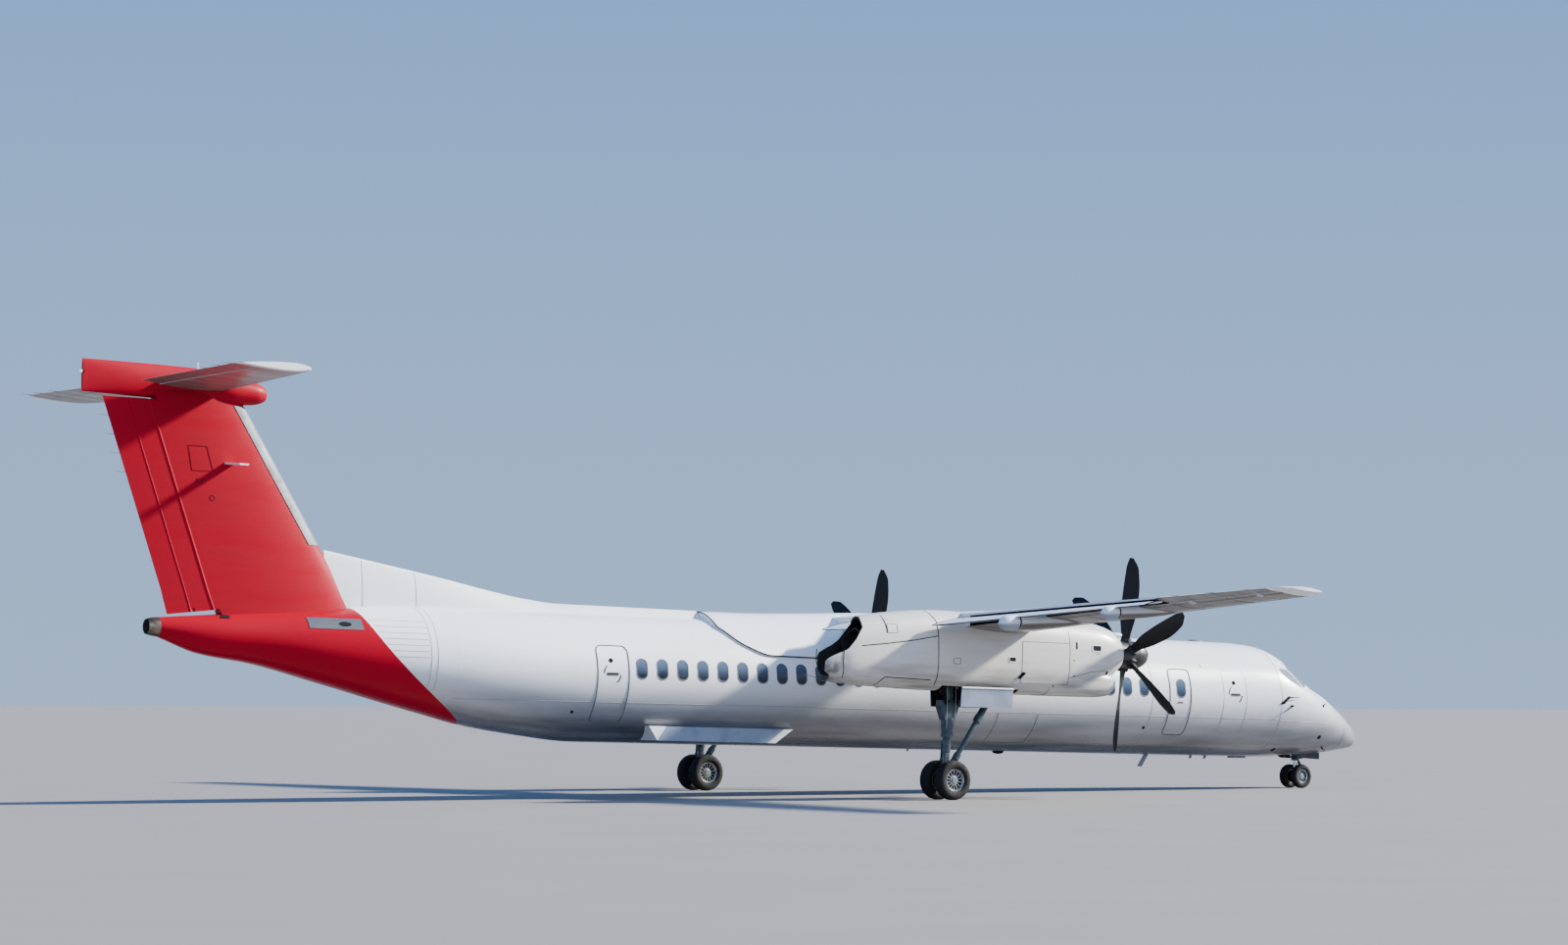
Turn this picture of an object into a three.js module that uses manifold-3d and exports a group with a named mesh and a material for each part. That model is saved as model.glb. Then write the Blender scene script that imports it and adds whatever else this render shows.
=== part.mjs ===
// High-wing twin turboprop airliner, parked on its landing gear with its flaps a little out.
// Millimetres; +X towards the nose, +Y to the left wing, +Z up; the ground is Z = 0.
// The airframe is drawn level and then tipped nose-down by PITCH, as it stands on its wheels.
import * as THREE from 'three';
import { mergeVertices } from 'three/addons/utils/BufferGeometryUtils.js';
import Module from 'manifold-3d';

const wasm = await Module();
wasm.setup();

const PITCH = 0.022; // radians, nose down
const GAP = 0.3; // between pieces that rest on each other
const PLAY = 0.4; // beside a hinge plate or at a shaft's end
const TAU = 2 * Math.PI;

// Fuselage
const FUSE_R = 1310; // radius of the round cabin
const AXIS_Z = 2334; // height of the cabin's axis
const RING = 36; // points round a fuselage ring
const RADOME_X = 15420; // front joint of the flight deck
const NOSE_X = 12900; // rear joint of the flight deck
const TAIL_X = -8900; // front joint of the tail cone
const CAP_X = -14880; // front of the tail cone's end cap

// Landing gear, in the ground's own frame
const MAIN_X = 652;
const WHEELBASE = 13940;
const TRACK = 8800;
const MAIN_TYRE_R = 400;
const MAIN_TYRE_W = 250;
const MAIN_TWIN = 240; // from leg to wheel centre
const AXLE_R = 60;
const RIM = 0.56; // share of the tyre's radius
const NOSE_TYRE_R = 275;
const NOSE_TYRE_W = 165;
const NOSE_TWIN = 190;
const NOSE_AXLE_R = 38;
const NOSE_X_WHEEL = MAIN_X + WHEELBASE;

// Engines and propellers
const ENGINE_Y = 4400;
const PROP_X = 5400; // plane of the blades
const PROP_Z = 3105; // height of the shaft
const PROP_R = 2055;
const HUB_R = 300;
const HUB_REAR = -280; // from the plane of the blades
const HUB_FRONT = 190;
const SOCKET_END = -180; // bottom of the hub's socket
const SHAFT_R = 110;
const ENGINE_REAR = 2150;
const BLADES = 6;
const NACELLE_WALL = 45;
const INNER = 16; // points round a nacelle's inner ring

// Wing
const WING_KINK_Y = 4400; // where taper and dihedral start
const WING_JOINT_Y = 5050; // joint of centre section and outer panel
const WING_TIP_Y = 14210;
const WING_SPAR = 0.72; // fixed part ends at this share of the chord
const FLAP_Y = [5070, 10900];
const AILERON_Y = [10960, 13820];

const PAINT = { white: 0xe9eaec, red: 0xc4101f, grey: 0x8d9196, dark: 0x22242a };
const TURBOPROP = new THREE.Group();
TURBOPROP.name = 'turboprop_airliner';
const AIRFRAME = new THREE.Group();
AIRFRAME.rotation.y = PITCH;
TURBOPROP.add(AIRFRAME);
AIRFRAME.updateMatrixWorld(true);

// Solids

function toSolid(geometry) {
  const bare = geometry.clone();
  bare.deleteAttribute('normal');
  bare.deleteAttribute('uv');
  const merged = mergeVertices(bare, 1e-3);
  const vertProperties = merged.attributes.position.array;
  const triVerts = Uint32Array.from(merged.index.array);
  return new wasm.Manifold(new wasm.Mesh({ numProp: 3, vertProperties, triVerts }));
}

function toGeometry(solid) {
  const mesh = solid.getMesh();
  const geometry = new THREE.BufferGeometry();
  geometry.setAttribute('position', new THREE.BufferAttribute(mesh.vertProperties, 3));
  geometry.setIndex(new THREE.BufferAttribute(mesh.triVerts, 1));
  return geometry;
}

function join(...solids) {
  return solids.reduce((all, one) => all.add(one));
}

function cut(solid, ...tools) {
  return tools.reduce((left, tool) => left.subtract(tool), solid);
}

function add(parent, name, solid, color, roughness = 0.45, metalness = 0) {
  const geometry = solid.isBufferGeometry ? solid : toGeometry(solid);
  const material = new THREE.MeshStandardMaterial({ color, roughness, metalness });
  const mesh = new THREE.Mesh(geometry, material);
  mesh.name = name;
  parent.add(mesh);
  return mesh;
}

// A closed skin over rings of equal length, each an array of [x, y, z].
function loft(rings) {
  const count = rings[0].length;
  const points = rings.flat();
  const faces = [];
  for (let r = 0; r + 1 < rings.length; r += 1) {
    for (let i = 0; i < count; i += 1) {
      const a = r * count + i;
      const b = r * count + (i + 1) % count;
      faces.push(a, b, b + count, a, b + count, a + count);
    }
  }
  for (const [ring, first, turn] of [[rings[0], 0, 1], [rings.at(-1), points.length - count, -1]]) {
    const middle = points.length;
    points.push([0, 1, 2].map((k) => ring.reduce((sum, p) => sum + p[k], 0) / count));
    for (let i = 0; i < count; i += 1) {
      const a = first + i;
      const b = first + (i + 1) % count;
      faces.push(...(turn > 0 ? [middle, b, a] : [middle, a, b]));
    }
  }
  const at = (i) => new THREE.Vector3(...points[i]);
  let volume = 0;
  for (let f = 0; f < faces.length; f += 3) {
    volume += at(faces[f]).dot(at(faces[f + 1]).cross(at(faces[f + 2])));
  }
  if (volume < 0) faces.reverse();
  const geometry = new THREE.BufferGeometry();
  geometry.setAttribute('position', new THREE.Float32BufferAttribute(points.flat(), 3));
  geometry.setIndex(faces);
  return toSolid(geometry);
}

function box(x0, x1, y0, y1, z0, z1) {
  const shape = new THREE.BoxGeometry(x1 - x0, y1 - y0, z1 - z0);
  return toSolid(shape.translate((x0 + x1) / 2, (y0 + y1) / 2, (z0 + z1) / 2));
}

// A round bar from one point to another, tapering from radius r0 to r1.
function bar(from, to, r0, r1 = r0, sides = 12) {
  const a = new THREE.Vector3(...from);
  const b = new THREE.Vector3(...to);
  const along = b.clone().sub(a);
  const shape = new THREE.CylinderGeometry(r1, r0, along.length(), sides);
  const up = new THREE.Vector3(0, 1, 0);
  const turn = new THREE.Quaternion().setFromUnitVectors(up, along.clone().normalize());
  shape.applyQuaternion(turn);
  return toSolid(shape.translate(...a.add(b).multiplyScalar(0.5).toArray()));
}

// A prism: an outline of [x, z] pairs, reaching from y0 to y1.
function slab(outline, y0, y1) {
  const shape = new THREE.Shape(outline.map(([x, z]) => new THREE.Vector2(x, z)));
  const block = new THREE.ExtrudeGeometry(shape, { depth: y1 - y0, bevelEnabled: false });
  return toSolid(block.rotateX(Math.PI / 2).translate(0, y1, 0));
}

// A turned shape about a line along Y: profile rows are [y, radius].
function turned(profile, sides, [x, y, z]) {
  const points = profile.map(([along, radius]) => new THREE.Vector2(radius, along));
  return toSolid(new THREE.LatheGeometry(points, sides).translate(x, y, z));
}

// A turned shape about a line along X: profile rows are [x, radius].
function spun(profile, sides, [x, y, z]) {
  const points = profile.map(([along, radius]) => new THREE.Vector2(radius, along));
  const shape = new THREE.LatheGeometry(points, sides).rotateZ(-Math.PI / 2);
  return toSolid(shape.translate(x, y, z));
}

function mirrored(solid) {
  return solid.mirror([0, 1, 0]);
}

// From the airframe's frame to the ground's frame.
function tipped(solid) {
  return toSolid(toGeometry(solid).applyMatrix4(AIRFRAME.matrixWorld));
}

function mix(table, x) {
  const rising = table[0][0] < table.at(-1)[0];
  const rows = rising ? table : [...table].reverse();
  const last = rows.length - 1;
  const i = Math.min(Math.max(rows.findIndex((row) => row[0] > x) - 1, 0), last - 1);
  const k = x >= rows[last][0] ? last - 1 : i;
  const t = Math.min(Math.max((x - rows[k][0]) / (rows[k + 1][0] - rows[k][0]), 0), 1);
  return rows[k].map((value, c) => value + t * (rows[k + 1][c] - value));
}

// Fuselage, as egg-shaped rings of two half ellipses that meet at the waist

const FUSE = [
  // x, top, bottom, half width, waist
  [16385, 1515, 1485, 15, 1500],
  [16340, 1622, 1376, 135, 1502],
  [16200, 1772, 1288, 310, 1510],
  [15900, 1995, 1240, 505, 1570],
  [15420, 2290, 1180, 745, 1700],
  [14850, 2592, 1110, 965, 1900],
  [14400, 2765, 1080, 1095, 2060],
  [13800, 3155, 1045, 1220, 2230],
  [13400, 3440, 1030, 1280, 2300],
  [12900, 3600, 1024, 1310, 2334],
  [12000, 3644, 1024, 1310, 2334],
  [-5600, 3644, 1024, 1310, 2334],
  [-6900, 3644, 1135, 1275, 2370],
  [-8150, 3640, 1300, 1180, 2440],
  [-8900, 3632, 1465, 1090, 2500],
  [-9900, 3600, 1690, 965, 2590],
  [-11500, 3480, 2070, 750, 2730],
  [-12900, 3370, 2380, 520, 2870],
  [-14000, 3275, 2535, 370, 2930],
  [-14880, 3205, 2830, 190, 3020],
];

function fuselageRing(x, grow = 0) {
  const [, top, bottom, half, waist] = mix(FUSE, x);
  const ring = [];
  for (let i = 0; i < RING; i += 1) {
    const angle = TAU * i / RING;
    const height = (Math.sin(angle) > 0 ? top - waist : waist - bottom) + grow;
    ring.push([x, (half + grow) * Math.cos(angle), waist + height * Math.sin(angle)]);
  }
  return ring;
}

function fuselage(front, rear, grow = 0) {
  const between = FUSE.map((row) => row[0]).filter((x) => x < front - 1 && x > rear + 1);
  return loft([front, ...between, rear].map((x) => fuselageRing(x, grow)));
}

// Aerofoil surfaces

// Outline of a symmetric section, from the nose to a cut at a share of the chord: [along, up].
function section(thickness, from, to, steps = 8) {
  const half = (s) => 5 * thickness * (0.2969 * Math.sqrt(s) - 0.126 * s - 0.3516 * s ** 2
    + 0.2843 * s ** 3 - 0.1015 * s ** 4);
  const shares = [];
  for (let i = 0; i <= steps; i += 1) {
    shares.push(from + (to - from) * (1 - Math.cos(Math.PI / 2 * i / steps)));
  }
  const upper = shares.map((s) => [s, half(s)]);
  const lower = shares.map((s) => [s, -half(s)]).reverse();
  return from > 0 ? [...upper, ...lower] : [...upper, ...lower.slice(0, -1)];
}

// Outline of a hinged trailing piece, with a round nose about its hinge.
function hinged(thickness, from, to = 1) {
  const body = section(thickness, from, to, 5);
  const radius = body[0][1];
  const rear = body.filter(([s]) => s > from + radius * 1.05);
  const nose = [-90, -45, 0, 45, 90].map((degrees) => {
    const angle = THREE.MathUtils.degToRad(degrees);
    return [from + radius * (1 - Math.cos(angle)), radius * Math.sin(angle)];
  });
  return [...nose, ...rear];
}

// Moves a closed outline outwards by a distance, square at its corners.
function swollen(outline, distance) {
  const count = outline.length;
  const normal = (a, b) => {
    const run = Math.hypot(b[0] - a[0], b[1] - a[1]);
    return [-(b[1] - a[1]) / run, (b[0] - a[0]) / run];
  };
  return outline.map((p, i) => {
    const n0 = normal(outline[(i + count - 1) % count], p);
    const n1 = normal(p, outline[(i + 1) % count]);
    const scale = distance / Math.max(1 + n0[0] * n1[0] + n0[1] * n1[1], 0.4);
    return [p[0] + (n0[0] + n1[0]) * scale, p[1] + (n0[1] + n1[1]) * scale];
  });
}

// Where the round nose of a hinged piece turns, as a share of the chord.
function hingeShare(thickness, from) {
  return from + section(thickness, from, 1, 5)[0][1];
}

// A plate across a hinge line, through a point: its reach behind and ahead, its thickness and height.
function plate(at, line, behind, ahead, thick, high) {
  const shape = new THREE.BoxGeometry(behind + ahead, thick, high).translate((ahead - behind) / 2, 0, 0);
  const along = new THREE.Vector3(...line).normalize();
  const forward = new THREE.Vector3(1, 0, 0).addScaledVector(along, -along.x).normalize();
  const frame = new THREE.Matrix4().makeBasis(forward, along, forward.clone().cross(along));
  return toSolid(shape.applyMatrix4(frame.setPosition(...at)));
}

// Hinge plates for the fixed piece, and the notches that they run in, at stations along the hinge line.
function hingePlates(hingeAt, stations, behind, ahead, thick, high) {
  const line = hingeAt(stations[1]).map((value, i) => value - hingeAt(stations[0])[i]);
  const rows = (...size) => stations.map((station) => plate(hingeAt(station), line, ...size));
  return {
    plates: rows(behind, ahead, thick, high),
    notches: rows(behind * 1.8, ahead, thick + 2 * PLAY, high * 4),
  };
}

// Wing rows: y, leading edge x, chord, thickness share, height, nose-up twist in degrees.
const WING = [
  [0, 2650, 2750, 0.18, 3640, 0.5],
  [WING_KINK_Y, 2650, 2750, 0.18, 3640, 0.5],
  [WING_TIP_Y - 130, 1710, 1080, 0.13, 4075, -3],
  [WING_TIP_Y, 1640, 760, 0.06, 4085, -3],
];

function wingRing(y, from, to, grow, shape) {
  const [, lead, chord, thickness, height, twist] = mix(WING, Math.abs(y));
  const angle = THREE.MathUtils.degToRad(twist);
  let outline = shape(thickness, from, to).map(([s, t]) => [s * chord, t * chord]);
  if (grow) outline = swollen(outline, grow);
  return outline.map(([along, up]) => [
    lead - along * Math.cos(angle) - up * Math.sin(angle),
    y,
    height + up * Math.cos(angle) - (along - 0.4 * chord) * Math.sin(angle),
  ]);
}

function wingPanel(ys, from, to, grow = 0, shape = section) {
  return loft(ys.map((y) => wingRing(y, from, to, grow, shape)));
}

// Under-wing flap fairings: y, front x, rear x, front height, rear height, half width, half depth.
const FAIRINGS = [
  [7350, 1900, -400, 3620, 3490, 170, 200],
  [10050, 1900, -100, 3770, 3655, 150, 170],
];
const FAIRING_SPLIT = 0.8; // share of its length that stays with the wing
const FAIRING_SLOT = 0.02; // share of its length between its two pieces

function fairingPod([y, front, rear, z0, z1, half, depth], from, to, grow = 0) {
  const rings = [];
  const steps = 5;
  for (let i = 0; i <= steps; i += 1) {
    const s = from + (to - from) * i / steps;
    const swell = Math.max(Math.sin(Math.PI * Math.min(s * 0.55, 0.5)) ** 0.6, 0.03);
    const tail = s > 0.9 ? Math.sqrt(Math.max(1 - ((s - 0.9) / 0.1) ** 2, 0.01)) : 1;
    const size = swell * tail;
    const ring = [];
    for (let k = 0; k < 10; k += 1) {
      const angle = TAU * k / 10;
      ring.push([front + (rear - front) * s, y + (half * size + grow) * Math.cos(angle),
        z0 + (z1 - z0) * s + (depth * size + grow) * Math.sin(angle)]);
    }
    rings.push(ring);
  }
  return loft(rings);
}

// Wing, flaps and ailerons

const FLAP_DROP = THREE.MathUtils.degToRad(9);
const FLAP_BACK = 150; // how far the flap has run out behind its slot
const FLAP_INNER_Y = [1420, 3780];
const FLAP_ARM_Y = [1900, 3300]; // arms that carry the inner flap
const AILERON_FROM = WING_SPAR + 0.012;
const AILERON_HINGE_Y = [11500, 13300];

function flap(y0, y1) {
  const rings = [y0, (y0 + y1) / 2, y1].map((y) => {
    const [, lead, chord, thickness, height] = mix(WING, Math.abs(y));
    const size = chord * 0.30;
    const nose = lead - chord * WING_SPAR - 55 - FLAP_BACK * chord / 2750;
    return section(thickness * 0.8, 0, 1, 8).map(([s, t]) => {
      const along = s * size;
      const up = t * size;
      return [
        nose - along * Math.cos(FLAP_DROP) - up * Math.sin(FLAP_DROP) * -1,
        y,
        height - 0.012 * chord + up * Math.cos(FLAP_DROP) - along * Math.sin(FLAP_DROP),
      ];
    });
  });
  return loft(rings);
}

// Arms under an inner flap, out to the rear face of the wing.
function flapArms(wingTool) {
  return FLAP_ARM_Y.map((y) => cut(box(250, 720, y - 12, y + 12, 3545, 3600), wingTool));
}

function wing(wingTool) {
  const centre = wingPanel([-WING_JOINT_Y, -WING_KINK_Y, WING_KINK_Y, WING_JOINT_Y], 0, WING_SPAR);
  add(AIRFRAME, 'wing_centre', centre, PAINT.white);
  const hingeAt = (y) => wingRing(y, AILERON_FROM, 1, 0, (t, from) => [[hingeShare(t, from), 0]])[0];
  const hinges = hingePlates(hingeAt, AILERON_HINGE_Y, 14, 95, 16, 44);
  const aileron = cut(wingPanel(AILERON_Y, AILERON_FROM, 1, 0, hinged), ...hinges.notches);
  for (const [side, sign] of [['left', 1], ['right', -1]]) {
    const place = (solid) => (sign > 0 ? solid : mirrored(solid));
    let panel = wingPanel([WING_JOINT_Y + GAP, AILERON_Y[1] + 30], 0, WING_SPAR);
    const tip = wingPanel([AILERON_Y[1] + 30, WING_TIP_Y - 130, WING_TIP_Y], 0, 1);
    panel = join(panel, tip, ...FAIRINGS.map((row) => fairingPod(row, 0, FAIRING_SPLIT)), ...hinges.plates);
    add(AIRFRAME, `wing_${side}`, place(panel), PAINT.white);
    const tails = FAIRINGS.map((row) => fairingPod(row, FAIRING_SPLIT + FAIRING_SLOT, 1));
    const keepOut = FAIRINGS.map((row) => fairingPod(row, 0, FAIRING_SPLIT + 0.001, GAP));
    const outboard = cut(join(flap(...FLAP_Y), ...tails), ...keepOut);
    add(AIRFRAME, `flap_outboard_${side}`, place(outboard), PAINT.white);
    const inboard = join(flap(...FLAP_INNER_Y), ...flapArms(wingTool));
    add(AIRFRAME, `flap_inboard_${side}`, place(inboard), PAINT.white);
    add(AIRFRAME, `aileron_${side}`, place(aileron), PAINT.white);
  }
}

// Saddle that blends the wing into the cabin roof: x, top, lower edge.
const SADDLE = [
  [4300, 3665, 3500],
  [3900, 3790, 3100],
  [3300, 3900, 2900],
  [2400, 3935, 2870],
  [-300, 3835, 2870],
  [-1450, 3800, 2880],
  [-2100, 3795, 3080],
  [-2560, 3780, 3420],
];
const SADDLE_HALF = 1345;

function saddle() {
  const rings = SADDLE.map(([x, top, edge]) => {
    const start = Math.asin((edge - AXIS_Z) / FUSE_R);
    const ring = [];
    for (let i = 0; i <= 20; i += 1) {
      const angle = start + (Math.PI - 2 * start) * i / 20;
      const lift = (top - AXIS_Z - SADDLE_HALF) * Math.max(Math.sin(angle), 0) ** 6;
      ring.push([x, SADDLE_HALF * Math.cos(angle), AXIS_Z + (SADDLE_HALF + lift) * Math.sin(angle)]);
    }
    return ring;
  });
  return loft(rings);
}

// Tail

const FIN_FOOT = 3540;
const FIN_TOP = 7490;
const FIN_THICKNESS = 0.11;
const RUDDER_Z = [3340, 7310];
const RUDDER_GAP = [20, 18]; // ahead of the rudder, ahead of its trailing piece
const RUDDER_HINGE_Z = [[4300, 6700], [4600, 6400]];
const STAB_Z = 7640;
const STAB_THICKNESS = 0.1;
const ELEVATOR_GAP = 14;
const STAB_EDGE = 6; // the fixed part ends this far ahead of the hinge row
const ELEVATOR_Y = [250, 4450];
const ELEVATOR_HINGE_Y = [900, 3700];
const finEdge = {
  lead: (z) => -10740 - 0.657 * (z - FIN_FOOT),
  hinge: (z) => -13640 - 0.377 * (z - 3400),
  split: (z) => -14170 - 0.373 * (z - 3460),
  trail: (z) => -14670 - 0.373 * (z - 3300),
};

// A slice of the fin between two of its edges, from one height to another.
function finSlice(front, rear, z0, z1, frontGap = 0, rearGap = 0, grow = 0) {
  const shape = front === 'lead' ? section : hinged;
  const ring = (z) => {
    const lead = finEdge.lead(z);
    const chord = lead - finEdge.trail(z);
    const from = front === 'lead' ? 0 : (lead - finEdge[front](z) + frontGap) / chord;
    const to = rear === 'trail' ? 1 : (lead - finEdge[rear](z) - rearGap) / chord;
    let outline = shape(FIN_THICKNESS, from, to).map(([s, t]) => [s * chord, t * chord]);
    if (grow) outline = swollen(outline, grow);
    return outline.map(([along, across]) => [lead - along, across, z]);
  };
  return loft([z0, z1].map(ring));
}

const DORSAL = [
  // x, top, half width at the foot
  [-2575, 3800, 210],
  [-6000, 3812, 200],
  [-6800, 3880, 190],
  [-7600, 4005, 180],
  [-8700, 4205, 165],
  [-10000, 4420, 140],
  [-11380, 4640, 110],
];

function dorsal() {
  const rings = DORSAL.map(([x, top, half]) => {
    const foot = 3440;
    return [[x, half, foot], [x, half * 0.62, foot + 0.55 * (top - foot)], [x, half * 0.4, top - 22],
      [x, half * 0.15, top], [x, -half * 0.15, top], [x, -half * 0.4, top - 22],
      [x, -half * 0.62, foot + 0.55 * (top - foot)], [x, -half, foot]];
  });
  return loft(rings);
}

// Stabiliser rows: y, leading edge x, hinge x, trailing edge x.
const STAB = [
  [0, -13560, -15060, -15480],
  [4470, -14170, -15235, -15700],
  [4635, -14300, -15275, -15650],
];

function stabSlice(ys, from, to, grow = 0) {
  return loft(ys.map((y) => {
    const [, lead, hinge, trail] = mix(STAB, Math.abs(y));
    const chord = lead - trail;
    const share = (lead - hinge) / chord;
    const a = from === 'hinge' ? share + ELEVATOR_GAP / chord : 0;
    const b = to === 'hinge' ? share - STAB_EDGE / chord : 1;
    const shape = from === 'hinge' ? hinged : section;
    let outline = shape(STAB_THICKNESS, a, b).map(([s, t]) => [s * chord, t * chord]);
    if (grow) outline = swollen(outline, grow);
    return outline.map(([along, up]) => [lead - along, y, STAB_Z + up]);
  }));
}

// Cap over the fin: x, top, bottom, half width.
const CAP = [
  [-12740, 7600, 7545, 30],
  [-12800, 7700, 7420, 150],
  [-13050, 7800, 7345, 235],
  [-13500, 7880, 7320, 255],
  [-13950, 7940, 7335, 215],
  [-14400, 7975, 7345, 160],
  [-15600, 7985, 7375, 120],
  [-16593, 7985, 7400, 35],
];

function finHinge(front, gap, z) {
  const lead = finEdge.lead(z);
  const chord = lead - finEdge.trail(z);
  return [lead - hingeShare(FIN_THICKNESS, (lead - finEdge[front](z) + gap) / chord) * chord, 0, z];
}

function elevatorHinge(y) {
  const [, lead, hinge, trail] = mix(STAB, y);
  const chord = lead - trail;
  return [lead - hingeShare(STAB_THICKNESS, (lead - hinge + ELEVATOR_GAP) / chord) * chord, y, STAB_Z];
}

function tail(tube) {
  const crown = fuselage(-9000, CAP_X, GAP);
  const fore = hingePlates((z) => finHinge('hinge', RUDDER_GAP[0], z), RUDDER_HINGE_Z[0], 30, 165, 24, 80);
  const aft = hingePlates((z) => finHinge('split', RUDDER_GAP[1], z), RUDDER_HINGE_Z[1], 18, 115, 20, 50);
  const finSolid = cut(finSlice('lead', 'hinge', 3150, FIN_TOP, 0, 8), crown);
  add(AIRFRAME, 'fin', join(finSolid, ...fore.plates), PAINT.red);
  const rudder = cut(finSlice('hinge', 'split', ...RUDDER_Z, RUDDER_GAP[0], 8), ...fore.notches);
  add(AIRFRAME, 'rudder', join(rudder, ...aft.plates), PAINT.red);
  const rear = cut(finSlice('split', 'trail', ...RUDDER_Z, RUDDER_GAP[1]), ...aft.notches);
  add(AIRFRAME, 'rudder_trailing', rear, PAINT.red);
  const ridge = cut(dorsal(), tube, fuselage(-5000, CAP_X, GAP), fuselage(0, -9500, GAP),
    finSlice('lead', 'hinge', 3150, FIN_TOP, 0, 0, GAP));
  add(AIRFRAME, 'dorsal_fin', ridge, PAINT.white);
  const fixed = stabSlice([-4470, 0, 4470], 'lead', 'hinge');
  const tips = [4470, -4470].map((y) => stabSlice([y, Math.sign(y) * 4635], 'lead', 'trail'));
  const hinges = hingePlates(elevatorHinge, ELEVATOR_HINGE_Y, 9, 80, 16, 32);
  const plates = [...hinges.plates, ...hinges.plates.map(mirrored)];
  add(AIRFRAME, 'stabiliser', join(fixed, ...tips, ...plates), PAINT.grey);
  for (const [side, sign] of [['left', 1], ['right', -1]]) {
    const half = cut(stabSlice(ELEVATOR_Y, 'hinge', 'trail'), ...hinges.notches);
    add(AIRFRAME, `elevator_${side}`, sign > 0 ? half : mirrored(half), PAINT.grey);
  }
  const cap = loft(CAP.map(([x, top, bottom, half]) => {
    const ring = [];
    for (let i = 0; i < 14; i += 1) {
      const angle = TAU * i / 14;
      ring.push([x, half * Math.cos(angle), (top + bottom) / 2 + (top - bottom) / 2 * Math.sin(angle)]);
    }
    return ring;
  }));
  const around = stabSlice([-4470, 0, 4470], 'lead', 'hinge', GAP);
  const finTop = finSlice('lead', 'hinge', 7000, FIN_TOP + GAP, 0, 8, GAP);
  add(AIRFRAME, 'fin_cap', cut(cap, around, finTop), PAINT.red);
}

// Nacelles, hollow and open at the nose, the jet pipe and the wheel bay

const NACELLE = [
  // x, top, bottom, half width, squareness
  [5070, 3470, 2740, 360, 2],
  [4920, 3590, 2640, 455, 2.2],
  [4300, 3740, 2420, 530, 2.5],
  [3300, 3775, 2200, 560, 2.9],
  [2000, 3800, 2185, 565, 3.1],
  [300, 3850, 2215, 565, 3.1],
  [-1000, 3760, 2250, 550, 3],
  [-2000, 3590, 2300, 500, 2.8],
  [-3060, 3300, 2470, 330, 2.4],
];
const CHIN = [
  // x, top, bottom, half width, squareness
  [4900, 2640, 2330, 300, 2.4],
  [4840, 2720, 2230, 360, 2.4],
  [4500, 2790, 2190, 420, 2.5],
  [3000, 2900, 2185, 480, 2.8],
];
const MOUTH = [
  [5040, 2600, 2370, 260, 2.4],
  [4640, 2600, 2400, 230, 2.4],
  [4050, 2640, 2470, 200, 2.4],
];
const BAY = [200, 2200, 400, 2000, 2600]; // rear x, front x, half width, foot and roof of the wheel bay

function squareRing([x, top, bottom, half, power], y, wall = 0, count = 24) {
  const ring = [];
  const middle = (top + bottom) / 2;
  const height = (top - bottom) / 2 - wall;
  const bend = (v) => Math.sign(v) * Math.abs(v) ** (2 / power);
  for (let i = 0; i < count; i += 1) {
    const angle = TAU * i / count;
    ring.push([x, y + (half - wall) * bend(Math.cos(angle)), middle + height * bend(Math.sin(angle))]);
  }
  return ring;
}

// Behind this line the nacelle is open: the jet pipe's slanted mouth.
const PIPE_MOUTH = [[-1780, 4000], [-1920, 3560], [-1920, 3380], [-2080, 3150], [-2280, 2950], [-2660, 2790],
  [-2800, 2700], [-2800, 2520], [-2640, 2400], [-2640, 2300], [-3400, 2300], [-3400, 4000]];
const FRONT_HOLE = [4900, 5140, 300]; // rear x, front x, radius
const ENGINE_FRONT = 4450;
const ENGINE_HALF = 340;
const ENGINE_Z = [2640, 3330];
const ENGINE_ARM_X = [2700, 4000];
const ENGINE_ARM = { half: 60, z0: 2950, z1: 3070, reach: 700 };

// Jet pipe rows: x, x of its bore, top, bottom, half width, squareness.
const PIPE = [
  [ENGINE_REAR - GAP, 2050, 3240, 2700, 270, 2],
  [1000, 1000, 3260, 2740, 260, 2],
  [-1000, -1000, 3330, 2800, 290, 2.1],
  [-1800, -1900, 3420, 2760, 340, 2.2],
];
const PIPE_WALL = 15;

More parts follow.
